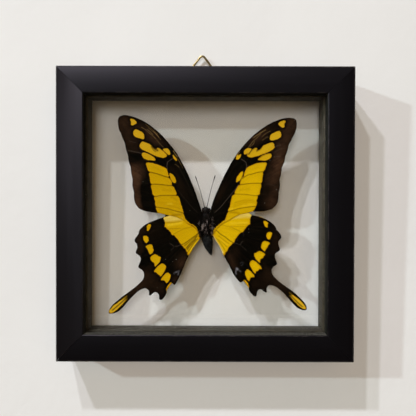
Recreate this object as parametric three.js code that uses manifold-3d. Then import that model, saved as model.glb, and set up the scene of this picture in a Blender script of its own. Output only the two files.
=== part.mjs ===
// A swallowtail butterfly mounted between two panes of glass in a small black wooden frame,
// with a triangular wire ring on the back to hang it by.
//
// Millimetres, +Z up, +X to the viewer's right, +Y into the wall. The origin is the centre of the
// bottom rail's underside, at half the frame's depth, so the front face is at y = -11.

import * as THREE from 'three';
import * as BufferGeometryUtils from 'three/addons/utils/BufferGeometryUtils.js';
import Module from 'manifold-3d';

const wasm = await Module();
wasm.setup();

// ---------------------------------------------------------------- driving dimensions
const FRAME_W = 130.0;          // outside width
const FRAME_H = 128.8;          // outside height
const FRAME_D = 22.0;           // front face to back face
const LIP_OPEN_W = 106.2;       // opening inside the front lip
const LIP_OPEN_H = 105.0;
const LIP_D = 5.0;              // depth of the lip
const WOOD_BACK_W = 9.0;        // width of the rails behind the lip
const EDGE = 0.5;               // eased front edges
const MITRE_GAP = 0.21;         // along each rail, leaves a 0.3 mm joint
const GAP = 0.3;                // fitting gap between neighbouring pieces

const PANE_T = 2.0;             // both panes
const PANE_CLEAR = 0.4;         // pane edge to rabbet wall
const SPACER_OPEN_W = 105.3;    // opening inside the spacer strips
const SPACER_OPEN_H = 104.5;
const SPACER_D = 9.6;           // depth of the spacer strips

const RING_WIRE_R = 0.52;       // hanger wire
const RING_X = -1.75;           // the hanger sits a little left of the centre
const RING_HALF_BASE = 10.6;    // centre line of the wire, half of the base
const RING_BASE_Z = FRAME_H - 2.7;
const RING_APEX_Z = FRAME_H / 2 + 75.55 - RING_WIRE_R;
const STRAP_W = 5.0;
const STRAP_T = 0.55;           // brass sheet of the strap
const SCREW_R = 0.9;

// depth below the front face, for each layer
const FRONT_PANE_T0 = LIP_D + GAP;
const SPACER_T0 = FRONT_PANE_T0 + PANE_T + GAP;
const BACK_PANE_T0 = SPACER_T0 + SPACER_D + GAP;
const POINT_T0 = BACK_PANE_T0 + PANE_T + GAP;
const STRAP_T0 = FRAME_D + GAP;
const RING_T = STRAP_T0 + STRAP_T + GAP + RING_WIRE_R;

const FOREWING_T0 = 8.55;
const HINDWING_T0 = 9.15;
const WING_T = 0.3;

const CZ = FRAME_H / 2;                       // height of the frame's centre
const yOf = (t) => t - FRAME_D / 2;           // depth below the front face to y

// ---------------------------------------------------------------- materials
const mat = (color, roughness, metalness = 0, extra = {}) =>
  new THREE.MeshStandardMaterial({ color, roughness, metalness, ...extra });
const blackWood = () => mat(0x141216, 0.45);
const spacerBoard = () => mat(0x3a372f, 0.7);
const clearGlass = () => mat(0xf4f8f6, 0.03, 0, { transparent: true, opacity: 0.25 });
const wingScales = () => mat(0x0f0c0a, 0.75);
const bodyHair = () => mat(0x15120f, 0.8);
const brass = () => mat(0xb08a4a, 0.35, 1);
const steel = () => mat(0x8a8a8c, 0.4, 1);

// ---------------------------------------------------------------- helpers
const root = new THREE.Group();

function signedVolume(geometry) {
  const p = geometry.getAttribute('position');
  const ix = geometry.getIndex();
  const a = new THREE.Vector3(), b = new THREE.Vector3(), c = new THREE.Vector3();
  let v = 0;
  for (let i = 0; i < ix.count; i += 3) {
    a.fromBufferAttribute(p, ix.getX(i));
    b.fromBufferAttribute(p, ix.getX(i + 1));
    c.fromBufferAttribute(p, ix.getX(i + 2));
    v += a.dot(b.cross(c)) / 6;
  }
  return v;
}

// one closed mesh with shared vertices and its faces out
function closed(geometry) {
  let g = geometry.clone();
  for (const name of Object.keys(g.attributes)) if (name !== 'position') g.deleteAttribute(name);
  if (!g.getIndex()) g.setIndex([...Array(g.getAttribute('position').count).keys()]);
  g = BufferGeometryUtils.mergeVertices(g, 1e-4);
  const index = [];
  const ix = g.getIndex();
  for (let i = 0; i < ix.count; i += 3) {
    const [a, b, c] = [ix.getX(i), ix.getX(i + 1), ix.getX(i + 2)];
    if (a !== b && b !== c && c !== a) index.push(a, b, c);
  }
  g.setIndex(index);
  if (signedVolume(g) < 0) {
    for (let i = 0; i < index.length; i += 3) [index[i + 1], index[i + 2]] = [index[i + 2], index[i + 1]];
    g.setIndex(index);
  }
  return g;
}

function toSolid(geometry) {
  const g = closed(geometry);
  return new wasm.Manifold(new wasm.Mesh({
    numProp: 3,
    vertProperties: new Float32Array(g.getAttribute('position').array),
    triVerts: new Uint32Array(g.getIndex().array),
  }));
}

function toGeometry(solid) {
  const m = solid.getMesh();
  const n = m.vertProperties.length / m.numProp;
  const pos = new Float32Array(n * 3);
  for (let i = 0; i < n; i++) for (let k = 0; k < 3; k++) pos[3 * i + k] = m.vertProperties[m.numProp * i + k];
  const g = new THREE.BufferGeometry();
  g.setAttribute('position', new THREE.BufferAttribute(pos, 3));
  g.setIndex([...m.triVerts]);
  return g;
}

function add(name, geometry, material, parent = root) {
  const mesh = new THREE.Mesh(geometry, material);
  mesh.name = name;
  parent.add(mesh);
  return mesh;
}

// a box from its low and high corners
function boxGeometry(x0, y0, z0, x1, y1, z1) {
  const g = new THREE.BoxGeometry(x1 - x0, y1 - y0, z1 - z0);
  g.translate((x0 + x1) / 2, (y0 + y1) / 2, (z0 + z1) / 2);
  return g;
}

// an outline in x and z, given depth between two depths below the front face
function slabGeometry(points, t0, t1) {
  const shape = new THREE.Shape(points.map(([x, z]) => new THREE.Vector2(x, z)));
  const g = new THREE.ExtrudeGeometry(shape, { depth: t1 - t0, bevelEnabled: false });
  g.rotateX(Math.PI / 2);
  g.translate(0, yOf(t1), CZ);
  return g;
}

// closed sections joined in order; each section is a list of points of equal length
function loftGeometry(sections, { loop = false } = {}) {
  const n = sections[0].length;
  const pos = [];
  for (const s of sections) for (const p of s) pos.push(...p);
  const index = [];
  const quads = (i, j) => {
    for (let k = 0; k < n; k++) {
      const a = i * n + k, b = i * n + ((k + 1) % n), c = j * n + k, d = j * n + ((k + 1) % n);
      index.push(a, b, d, a, d, c);
    }
  };
  for (let i = 0; i + 1 < sections.length; i++) quads(i, i + 1);
  if (loop) quads(sections.length - 1, 0);
  else {
    for (const [i, flip] of [[0, true], [sections.length - 1, false]]) {
      const centre = [0, 0, 0];
      for (const p of sections[i]) for (let k = 0; k < 3; k++) centre[k] += p[k] / n;
      const c = pos.length / 3;
      pos.push(...centre);
      for (let k = 0; k < n; k++) {
        const a = i * n + k, b = i * n + ((k + 1) % n);
        if (flip) index.push(c, b, a); else index.push(c, a, b);
      }
    }
  }
  const g = new THREE.BufferGeometry();
  g.setAttribute('position', new THREE.Float32BufferAttribute(pos, 3));
  g.setIndex(index);
  return g;
}

// ---------------------------------------------------------------- frame rails
// Section of a rail: w runs from the outer edge inwards, t from the front face backwards.
const lipW = { side: (FRAME_W - LIP_OPEN_W) / 2, end: (FRAME_H - LIP_OPEN_H) / 2 };

function railSection(lip) {
  return [
    [EDGE, 0], [lip - EDGE * 0.8, 0], [lip, EDGE * 0.8], [lip, LIP_D],
    [WOOD_BACK_W, LIP_D], [WOOD_BACK_W, FRAME_D], [EDGE * 0.4, FRAME_D], [0, FRAME_D - EDGE * 0.4], [0, EDGE],
  ];
}

// the section run along the rail, both ends sheared to the mitre
function railGeometry(lip, length, place) {
  const shape = new THREE.Shape(railSection(lip).map(([w, t]) => new THREE.Vector2(w, t)));
  const g = new THREE.ExtrudeGeometry(shape, { depth: 1, bevelEnabled: false });
  const p = g.getAttribute('position');
  for (let i = 0; i < p.count; i++) {
    const w = p.getX(i), t = p.getY(i), end = p.getZ(i) > 0.5 ? 1 : -1;
    const along = end * (length / 2 - w - MITRE_GAP);
    const [x, y, z] = place(w, t, along);
    p.setXYZ(i, x, y, z);
  }
  return g;
}

const rails = {
  frame_rail_top: railGeometry(lipW.end, FRAME_W, (w, t, s) => [s, yOf(t), FRAME_H - w]),
  frame_rail_bottom: railGeometry(lipW.end, FRAME_W, (w, t, s) => [s, yOf(t), w]),
  frame_rail_left: railGeometry(lipW.side, FRAME_H, (w, t, s) => [-FRAME_W / 2 + w, yOf(t), CZ + s]),
  frame_rail_right: railGeometry(lipW.side, FRAME_H, (w, t, s) => [FRAME_W / 2 - w, yOf(t), CZ + s]),
};

// Flat points pressed into the rabbet wall behind the back pane, one to each rail. The top one
// stands to the side of the hanger's screw.
const POINT_L = 5.4, POINT_W = 8.0, POINT_THICK = 0.5, POINT_BURIED = 3.2;
const pointBoxes = {};
for (const [side, dx, dz, shift] of [['top', 0, 1, 17], ['bottom', 0, -1, 0], ['left', -1, 0, 0], ['right', 1, 0, 0]]) {
  const half = dx !== 0 ? FRAME_W / 2 : FRAME_H / 2;
  const outer = half - WOOD_BACK_W + POINT_BURIED;
  const inner = outer - POINT_L;
  const box = (grow, reach) => {
    const a = inner - grow, b = outer + reach, h = POINT_W / 2 + grow;
    const [x0, x1] = dx !== 0 ? [Math.min(dx * a, dx * b), Math.max(dx * a, dx * b)] : [shift - h, shift + h];
    const [z0, z1] = dz !== 0 ? [Math.min(dz * a, dz * b), Math.max(dz * a, dz * b)] : [shift - h, shift + h];
    return boxGeometry(x0, yOf(POINT_T0) - grow, CZ + z0, x1, yOf(POINT_T0 + POINT_THICK) + grow, CZ + z1);
  };
  pointBoxes[side] = { piece: box(0, 0), slot: box(GAP, GAP) };
}

// ---------------------------------------------------------------- hanger screw, strap and ring
const SCREW_Z = FRAME_H - 6.7;
const STRAP_PLATE_T = 2 * STRAP_T;            // the sheet lies double below the loop
const SCREW_HEAD_T0 = STRAP_T0 + STRAP_PLATE_T + GAP;

// a turned profile with its axis along +Y: radius, and distance behind the underside of the head
function turnedAlongY(profile, x, yBase, z, segments = 20) {
  const g = new THREE.LatheGeometry(profile.map(([r, h]) => new THREE.Vector2(r, h)), segments);
  g.translate(x, yBase, z);
  return g;
}

const screwTop = yOf(SCREW_HEAD_T0 + 1.15);
const screwProfile = [
  [0, 1.15], [1.1, 1.1], [1.75, 0.75], [2.05, 0.3], [2.05, 0], [SCREW_R, 0],
  [SCREW_R, -6.5], [0.0, -8.6],
];
{
  const turned = turnedAlongY(screwProfile, RING_X, yOf(SCREW_HEAD_T0), SCREW_Z);
  let screw = toSolid(turned);
  for (const [hx, hz] of [[1.15, 0.24], [0.24, 1.15]]) {
    screw = screw.subtract(toSolid(boxGeometry(
      RING_X - hx, screwTop - 0.6, SCREW_Z - hz, RING_X + hx, screwTop + 1, SCREW_Z + hz)));
  }
  add('hanger_screw', toGeometry(screw), brass());
}

const clearanceHole = (reach) => {
  const g = new THREE.CylinderGeometry(SCREW_R + GAP, SCREW_R + GAP, reach, 20);
  g.translate(RING_X, 0, SCREW_Z);
  return g;
};
{
  const solid = toSolid(rails.frame_rail_top);
  const hole = clearanceHole(10);
  hole.translate(0, yOf(FRAME_D) - 9.2 + 5, 0);
  const holeEnd = yOf(FRAME_D) - 9.2;
  if (holeEnd > screwTop) throw new Error('screw hole is too short');
  rails.frame_rail_top = toGeometry(solid.subtract(toSolid(hole)).subtract(toSolid(pointBoxes.top.slot)));
}
for (const side of ['bottom', 'left', 'right']) {
  const solid = toSolid(rails['frame_rail_' + side]);
  rails['frame_rail_' + side] = toGeometry(solid.subtract(toSolid(pointBoxes[side].slot)));
}
for (const [name, g] of Object.entries(rails)) add(name, closed(g), blackWood());
for (const [side, { piece }] of Object.entries(pointBoxes)) add('point_' + side, piece, steel());

// Strap: the sheet wraps the ring's base wire and lies double against the rail, the screw through both.
{
  const inner = RING_WIRE_R + GAP, outer = inner + STRAP_T;
  const section = [];                          // in t and z, around the ring's base wire
  const plateBottom = FRAME_H - 8.9;
  const z0 = RING_BASE_Z;
  const a0 = Math.acos((STRAP_PLATE_T + STRAP_T0 - RING_T) / outer);   // where the rear leaf meets the loop
  section.push([STRAP_T0, plateBottom], [STRAP_T0, z0]);
  for (let i = 1; i < 12; i++) {
    const a = Math.PI - (i / 12) * (Math.PI + a0);
    section.push([RING_T + outer * Math.cos(a), z0 + outer * Math.sin(a)]);
  }
  section.push([STRAP_T0 + STRAP_PLATE_T, z0 - outer * Math.sin(a0)]);
  section.push([STRAP_T0 + STRAP_PLATE_T, plateBottom]);
  const shape = new THREE.Shape(section.map(([t, z]) => new THREE.Vector2(t, z)));
  const g = new THREE.ExtrudeGeometry(shape, { depth: STRAP_W, bevelEnabled: false });
  const p = g.getAttribute('position');
  for (let i = 0; i < p.count; i++) {
    p.setXYZ(i, RING_X - STRAP_W / 2 + p.getZ(i), yOf(p.getX(i)), p.getY(i));
  }
  const bore = new THREE.CylinderGeometry(inner, inner, STRAP_W + 2, 24);
  bore.rotateZ(Math.PI / 2);
  bore.translate(RING_X, yOf(RING_T), RING_BASE_Z);
  const hole = clearanceHole(6);
  hole.translate(0, yOf(STRAP_T0), 0);
  const strap = toSolid(g).subtract(toSolid(bore)).subtract(toSolid(hole));
  add('hanger_strap', toGeometry(strap), brass());
}

// Ring: round wire bent to a triangle with rounded corners.
{
  const corner = new THREE.CurvePath();
  const A = new THREE.Vector3(RING_X - RING_HALF_BASE, yOf(RING_T), RING_BASE_Z);
  const B = new THREE.Vector3(RING_X + RING_HALF_BASE, yOf(RING_T), RING_BASE_Z);
  const C = new THREE.Vector3(RING_X, yOf(RING_T), RING_APEX_Z + 0.85);
  const corners = [[A, 2.2], [B, 2.2], [C, 2.4]];
  const ends = corners.map(([P, cut], i) => {
    const prev = corners[(i + 2) % 3][0], next = corners[(i + 1) % 3][0];
    return {
      P,
      from: P.clone().add(prev.clone().sub(P).setLength(cut)),
      to: P.clone().add(next.clone().sub(P).setLength(cut)),
    };
  });
  const line = [];
  for (let i = 0; i < 3; i++) {
    const e = ends[i], f = ends[(i + 1) % 3];
    const bend = new THREE.QuadraticBezierCurve3(e.from, e.P, e.to);
    for (let k = 0; k < 6; k++) line.push(bend.getPoint(k / 6));
    const straight = new THREE.LineCurve3(e.to, f.from);
    for (let k = 0; k < 4; k++) line.push(straight.getPoint(k / 4));
  }
  const sections = [];
  const normal = new THREE.Vector3(0, 1, 0);
  for (let i = 0; i < line.length; i++) {
    const before = line[(i + line.length - 1) % line.length], after = line[(i + 1) % line.length];
    const tangent = after.clone().sub(before).normalize();
    const side = new THREE.Vector3().crossVectors(tangent, normal).normalize();
    const section = [];
    for (let k = 0; k < 10; k++) {
      const a = (k / 10) * Math.PI * 2;
      const q = line[i].clone()
        .addScaledVector(side, RING_WIRE_R * Math.cos(a))
        .addScaledVector(normal, RING_WIRE_R * Math.sin(a));
      section.push([q.x, q.y, q.z]);
    }
    sections.push(section);
  }
  add('hanger_ring', closed(loftGeometry(sections, { loop: true })), brass());
}

// ---------------------------------------------------------------- panes and spacers
const paneHalfW = FRAME_W / 2 - WOOD_BACK_W - PANE_CLEAR;
const paneHalfH = FRAME_H / 2 - WOOD_BACK_W - PANE_CLEAR;
for (const [name, t0] of [['glass_front', FRONT_PANE_T0], ['glass_back', BACK_PANE_T0]]) {
  add(name, boxGeometry(-paneHalfW, yOf(t0), CZ - paneHalfH, paneHalfW, yOf(t0 + PANE_T), CZ + paneHalfH), clearGlass());
}
{
  const y0 = yOf(SPACER_T0), y1 = yOf(SPACER_T0 + SPACER_D);
  const ox = SPACER_OPEN_W / 2, oz = SPACER_OPEN_H / 2;
  add('spacer_top', boxGeometry(-paneHalfW, y0, CZ + oz, paneHalfW, y1, CZ + paneHalfH), spacerBoard());
  add('spacer_bottom', boxGeometry(-paneHalfW, y0, CZ - paneHalfH, paneHalfW, y1, CZ - oz), spacerBoard());
  add('spacer_left', boxGeometry(-paneHalfW, y0, CZ - oz + GAP, -ox, y1, CZ + oz - GAP), spacerBoard());
  add('spacer_right', boxGeometry(ox, y0, CZ - oz + GAP, paneHalfW, y1, CZ + oz - GAP), spacerBoard());
}

// ---------------------------------------------------------------- butterfly body
// Stations along the body: height above the frame's centre, x, depth of the middle, half width, half depth.
const BODY = [
  [3.15, 0.20, 10.4, 0.45, 0.5],
  [2.75, 0.20, 10.4, 1.15, 1.1],
  [1.9, 0.20, 10.4, 1.55, 1.5],
  [1.0, 0.20, 10.5, 1.4, 1.5],
  [0.4, 0.22, 10.7, 1.25, 1.5],
  [-0.4, 0.24, 11.0, 1.9, 2.3],
  [-1.6, 0.26, 11.3, 2.55, 3.0],
  [-3.2, 0.28, 11.5, 2.9, 3.35],
  [-5.0, 0.30, 11.6, 2.95, 3.4],
  [-6.8, 0.32, 11.6, 2.7, 3.15],
  [-8.2, 0.36, 11.6, 2.3, 2.65],
  [-9.3, 0.42, 11.7, 2.35, 2.35],
  [-10.8, 0.62, 11.9, 2.5, 2.4],
  [-12.4, 0.95, 12.1, 2.45, 2.35],
  [-14.0, 1.25, 12.4, 2.15, 2.1],
  [-15.6, 1.60, 12.7, 1.75, 1.75],
  [-17.1, 2.05, 13.0, 1.15, 1.25],
  [-18.3, 2.50, 13.2, 0.6, 0.7],
  [-19.0, 2.72, 13.3, 0.25, 0.3],
];
function bodyGeometry(grow, sides = 16) {
  return loftGeometry(BODY.map(([z, x, t, rx, rt]) => {
    const s = [];
    for (let k = 0; k < sides; k++) {
      const a = (k / sides) * Math.PI * 2;
      s.push([x + (rx + grow) * Math.cos(a), yOf(t + (rt + grow) * Math.sin(a)), CZ + z]);
    }
    return s;
  }));
}
add('butterfly_body', closed(bodyGeometry(0)), bodyHair());
const bodyRoom = toSolid(bodyGeometry(GAP + 0.05));

// Clear dab that holds the thorax to the back pane.
{
  const dab = new THREE.LatheGeometry([
    [0, 0], [2.6, 0], [2.75, 0.35], [2.3, 1.0], [1.9, 1.6], [1.7, 2.6], [1.55, 3.6], [0, 3.6],
  ].map(([r, h]) => new THREE.Vector2(r, h)), 20);
  dab.rotateX(Math.PI);                        // foot on the back pane, top towards the body
  dab.translate(0.3, yOf(BACK_PANE_T0 - GAP), CZ - 4.6);
  const solid = toSolid(dab).subtract(bodyRoom);
  add('glue_dab', toGeometry(solid), clearGlass());
}

// ---------------------------------------------------------------- antennae
for (const [name, x0, z0, x1, z1] of [
  ['antenna_left', -0.42, 3.75, -4.54, 17.04],
  ['antenna_right', 0.72, 3.75, 4.40, 17.42],
]) {
  const t0 = 9.7, t1 = 8.7;
  const sections = [];
  const steps = 12;
  const dir = new THREE.Vector3(x1 - x0, t1 - t0, z1 - z0).normalize();
  const u = new THREE.Vector3().crossVectors(dir, new THREE.Vector3(0, 1, 0)).normalize();
  const v = new THREE.Vector3().crossVectors(dir, u).normalize();
  for (let i = 0; i <= steps; i++) {
    const s = i / steps;
    const r = s < 0.86 ? 0.17 : s < 0.97 ? 0.27 : 0.16;
    const c = new THREE.Vector3(x0 + (x1 - x0) * s, yOf(t0 + (t1 - t0) * s), CZ + z0 + (z1 - z0) * s);
    const section = [];
    for (let k = 0; k < 6; k++) {
      const a = (k / 6) * Math.PI * 2;
      const q = c.clone().addScaledVector(u, r * Math.cos(a)).addScaledVector(v, r * Math.sin(a));
      section.push([q.x, q.y, q.z]);
    }
    sections.push(section);
  }
  add(name, closed(loftGeometry(sections)), bodyHair());
}

// ---------------------------------------------------------------- wings
// Outlines in x and height above the frame's centre. The left and the right wings differ a little,
// as they do on a dried specimen.
const FOREWING_LEFT = [
  [-1.9, 2.4], [-5.3, 11.9], [-9.3, 21.0], [-12.9, 27.3], [-16.6, 32.0], [-21.6, 37.2], [-27.1, 41.2],
  [-32.0, 43.5], [-34.7, 44.1], [-36.9, 44.3], [-38.2, 43.9], [-38.9, 43.3], [-39.4, 42.0], [-39.3, 40.1],
  [-38.8, 37.6], [-36.2, 31.8], [-35.7, 28.8], [-34.8, 26.4], [-34.4, 23.1], [-33.6, 21.1], [-33.4, 18.5],
  [-32.7, 15.4], [-32.8, 12.9], [-32.0, 9.7], [-32.0, 6.5], [-31.6, 4.9], [-30.2, 2.8], [-28.9, 1.9],
  [-25.4, 0.9], [-18.3, -0.3], [-16.3, -0.7], [-13.1, -1.4], [-10.2, -2.6], [-7.9, -4.4], [-5.8, -5.1],
  [-4.1, -6.6], [-3.0, -8.2], [-0.8, -7.0], [-1.4, 0.0],
];
const FOREWING_RIGHT = [
  [2.4, 2.4], [4.0, 7.3], [8.5, 17.4], [12.1, 24.0], [14.3, 27.4], [16.6, 30.3], [21.5, 35.5], [24.9, 38.1],
  [27.6, 40.0], [30.2, 41.3], [33.6, 42.7], [36.3, 43.2], [37.7, 43.3], [39.3, 43.1], [40.6, 42.3],
  [40.9, 41.4], [40.9, 39.6], [40.1, 36.4], [37.2, 30.8], [36.6, 27.7], [35.8, 26.0], [35.4, 23.2],
  [34.3, 20.6], [33.9, 17.4], [33.3, 15.6], [33.5, 12.8], [32.9, 9.6], [32.6, 5.7], [31.3, 3.5],
  [29.9, 2.3], [25.7, 1.2], [21.3, 1.1], [18.7, 0.5], [15.5, -0.2], [12.6, -1.7], [10.2, -3.2],
  [8.0, -4.2], [6.4, -5.5], [4.9, -7.0], [4.1, -8.8], [1.4, -7.0], [1.9, 0.0],
];
const HINDWING_LEFT = [
  [-18.4, -1.3], [-26.1, -4.3], [-28.1, -5.6], [-29.5, -7.0], [-30.0, -9.0], [-31.6, -11.2], [-31.9, -12.1],
  [-30.7, -14.1], [-30.6, -15.3], [-31.3, -17.6], [-29.6, -18.9], [-29.0, -20.1], [-29.1, -21.3],
  [-30.2, -23.9], [-29.8, -24.5], [-28.2, -25.5], [-27.8, -26.3], [-27.5, -27.9], [-27.7, -28.8],
  [-28.6, -30.3], [-31.0, -32.6], [-37.5, -37.4], [-41.6, -40.9], [-43.4, -43.5], [-43.4, -44.8],
  [-42.8, -45.1], [-42.1, -45.1], [-40.8, -44.8], [-38.9, -43.9], [-37.3, -42.5], [-34.8, -39.6],
  [-31.3, -35.9], [-29.5, -34.5], [-27.5, -33.6], [-26.6, -33.6], [-25.5, -34.5], [-25.3, -36.5],
  [-25.1, -36.8], [-24.6, -36.7], [-23.0, -35.4], [-21.9, -35.4], [-21.4, -35.7], [-20.9, -36.5],
  [-20.6, -38.5], [-20.0, -38.9], [-19.2, -38.5], [-17.9, -36.8], [-16.8, -33.6], [-15.3, -31.6],
  [-14.7, -31.3], [-13.8, -32.0], [-12.4, -30.2], [-11.1, -27.5], [-8.6, -21.2], [-6.9, -17.9],
  [-4.9, -14.7], [-2.5, -11.3], [-0.6, -9.4], [-0.6, -4.4], [-5.0, -2.2], [-10.0, 0.5], [-15.0, 1.4],
  [-17.5, 0.5],
];
const HINDWING_RIGHT = [
  [20.8, -0.4], [25.3, -1.3], [28.8, -3.1], [30.6, -4.5], [31.9, -6.2], [32.1, -7.0], [33.7, -8.9],
  [34.2, -10.0], [34.2, -10.7], [32.9, -12.5], [33.0, -13.9], [33.6, -15.9], [33.2, -16.5], [31.6, -17.6],
  [31.4, -18.3], [31.5, -19.7], [32.3, -21.7], [32.4, -22.4], [31.9, -22.9], [30.5, -23.9], [29.9, -25.0],
  [30.1, -26.3], [30.4, -27.1], [31.2, -28.3], [33.0, -30.1], [39.7, -34.9], [44.1, -39.0], [45.6, -41.2],
  [45.9, -42.4], [45.5, -43.1], [44.9, -43.3], [43.8, -43.2], [41.2, -41.9], [35.1, -35.3], [31.8, -32.6],
  [30.2, -32.1], [28.9, -32.0], [28.0, -32.7], [27.7, -33.5], [27.9, -35.0], [27.6, -35.3], [27.3, -35.3],
  [25.3, -34.0], [24.5, -33.9], [24.0, -34.2], [23.6, -34.9], [23.3, -36.4], [23.0, -37.0], [22.5, -37.2],
  [21.9, -36.9], [20.0, -34.8], [19.5, -33.0], [17.5, -30.2], [16.8, -30.4], [16.2, -30.8], [15.8, -30.7],
  [13.6, -28.3], [12.3, -26.2], [10.5, -22.5], [8.2, -18.6], [6.5, -14.6], [3.8, -10.7], [1.5, -9.6],
  [1.2, -4.4], [5.0, -2.0], [10.0, 1.2], [15.0, 2.5], [18.3, 1.9],
];
for (const [name, outline, t0] of [
  ['forewing_left', FOREWING_LEFT, FOREWING_T0],
  ['forewing_right', FOREWING_RIGHT, FOREWING_T0],
  ['hindwing_left', HINDWING_LEFT, HINDWING_T0],
  ['hindwing_right', HINDWING_RIGHT, HINDWING_T0],
]) {
  const solid = toSolid(slabGeometry(outline, t0, t0 + WING_T)).subtract(bodyRoom);

  add(name, toGeometry(solid), wingScales());
}

export default root;
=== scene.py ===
import math

import bmesh
import bpy
import numpy as np
from mathutils import Matrix, Vector, geometry


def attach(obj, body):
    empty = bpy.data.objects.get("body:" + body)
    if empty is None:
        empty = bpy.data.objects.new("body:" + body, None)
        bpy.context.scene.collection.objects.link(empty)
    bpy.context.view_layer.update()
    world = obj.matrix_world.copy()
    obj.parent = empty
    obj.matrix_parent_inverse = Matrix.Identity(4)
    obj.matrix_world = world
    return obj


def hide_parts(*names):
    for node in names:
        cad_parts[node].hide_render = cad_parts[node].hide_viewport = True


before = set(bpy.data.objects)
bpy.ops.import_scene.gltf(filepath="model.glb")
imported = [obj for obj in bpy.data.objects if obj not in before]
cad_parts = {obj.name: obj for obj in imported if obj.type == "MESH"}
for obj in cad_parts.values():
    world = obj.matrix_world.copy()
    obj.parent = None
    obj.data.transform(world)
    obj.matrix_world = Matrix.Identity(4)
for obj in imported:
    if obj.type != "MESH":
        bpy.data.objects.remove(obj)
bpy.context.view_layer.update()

# Looks of the framed swallowtail. Metres in the row frame: X right, +Y into the wall, Z up.
# Wing outlines and markings are in millimetres: x, and height above the frame's centre.
# t is the depth in millimetres below the frame's front face.

MM = 0.001
CZ = 64.4

scene = bpy.context.scene
scene.view_settings.view_transform = "Standard"
scene.view_settings.look = "None"
scene.view_settings.exposure = 0.0
scene.view_settings.gamma = 1.0


def at(x, t, zc):
    return (x * MM, (t - 11.0) * MM, (CZ + zc) * MM)


def lin(r, g, b):
    out = []
    for v in (r, g, b):
        v = v / 255.0
        out.append(v / 12.92 if v <= 0.04045 else ((v + 0.055) / 1.055) ** 2.4)
    return (out[0], out[1], out[2], 1.0)


# ---------------------------------------------------------------- node helpers
class Mat:
    """A material built from nodes, with short names for the nodes used most."""

    def __init__(self, name):
        self.m = bpy.data.materials.new(name)
        self.m.use_nodes = True
        self.t = self.m.node_tree
        self.t.nodes.clear()
        self.out = self.n("ShaderNodeOutputMaterial")

    def n(self, kind, **kw):
        node = self.t.nodes.new(kind)
        for k, v in kw.items():
            setattr(node, k, v)
        return node

    def put(self, socket, value):
        if value is None:
            return
        if isinstance(value, bpy.types.NodeSocket):
            self.t.links.new(value, socket)
        else:
            socket.default_value = value

    def coord(self, kind="Object"):
        return self.n("ShaderNodeTexCoord").outputs[kind]

    def mapping(self, vec, scale=(1, 1, 1), rot=(0, 0, 0), loc=(0, 0, 0)):
        m = self.n("ShaderNodeMapping")
        self.put(m.inputs["Vector"], vec)
        m.inputs["Scale"].default_value = scale
        m.inputs["Rotation"].default_value = rot
        m.inputs["Location"].default_value = loc
        return m.outputs["Vector"]

    def noise(self, vec, scale, detail=2.0, rough=0.5, distortion=0.0):
        m = self.n("ShaderNodeTexNoise")
        self.put(m.inputs["Vector"], vec)
        m.inputs["Scale"].default_value = scale
        m.inputs["Detail"].default_value = detail
        m.inputs["Roughness"].default_value = rough
        m.inputs["Distortion"].default_value = distortion
        return m.outputs["Fac"]

    def voronoi(self, vec, scale, feature="F1", randomness=1.0):
        m = self.n("ShaderNodeTexVoronoi", feature=feature)
        self.put(m.inputs["Vector"], vec)
        m.inputs["Scale"].default_value = scale
        m.inputs["Randomness"].default_value = randomness
        return m.outputs["Distance"]

    def math(self, op, a, b=None, c=None, clamp=False):
        m = self.n("ShaderNodeMath", operation=op, use_clamp=clamp)
        for i, v in enumerate((a, b, c)):
            self.put(m.inputs[i], v)
        return m.outputs[0]

    def vmath(self, op, a, b=None):
        m = self.n("ShaderNodeVectorMath", operation=op)
        self.put(m.inputs[0], a)
        if b is not None:
            self.put(m.inputs[1], b)
        return m.outputs[0]

    def rng(self, v, a, b, c=0.0, d=1.0, smooth=True):
        m = self.n("ShaderNodeMapRange", interpolation_type="SMOOTHSTEP" if smooth else "LINEAR")
        self.put(m.inputs[0], v)
        for i, x in enumerate((a, b, c, d)):
            self.put(m.inputs[i + 1], x)
        return m.outputs[0]

    def mix(self, fac, a, b, mode="MIX"):
        m = self.n("ShaderNodeMix", data_type="RGBA", blend_type=mode)
        self.put(m.inputs[0], fac)
        self.put(m.inputs[6], a)
        self.put(m.inputs[7], b)
        return m.outputs[2]

    def mixf(self, fac, a, b):
        m = self.n("ShaderNodeMix", data_type="FLOAT")
        self.put(m.inputs[0], fac)
        self.put(m.inputs[2], a)
        self.put(m.inputs[3], b)
        return m.outputs[0]

    def attr(self, name, out="Fac"):
        return self.n("ShaderNodeAttribute", attribute_type="GEOMETRY", attribute_name=name).outputs[out]

    def sep(self, vec):
        m = self.n("ShaderNodeSeparateXYZ")
        self.put(m.inputs[0], vec)
        return m.outputs

    def comb(self, x, y, z):
        m = self.n("ShaderNodeCombineXYZ")
        for i, v in enumerate((x, y, z)):
            self.put(m.inputs[i], v)
        return m.outputs[0]

    def bump(self, height, strength, distance, normal=None):
        m = self.n("ShaderNodeBump")
        self.put(m.inputs["Strength"], strength)
        self.put(m.inputs["Distance"], distance)
        self.put(m.inputs["Height"], height)
        self.put(m.inputs["Normal"], normal)
        return m.outputs["Normal"]

    def surface(self, **kw):
        """A Principled BSDF; keys are socket names with _ for a space."""
        b = self.n("ShaderNodeBsdfPrincipled")
        for k, v in kw.items():
            self.put(b.inputs[k.replace("_", " ")], v)
        self.t.links.new(b.outputs[0], self.out.inputs["Surface"])
        return b


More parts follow.
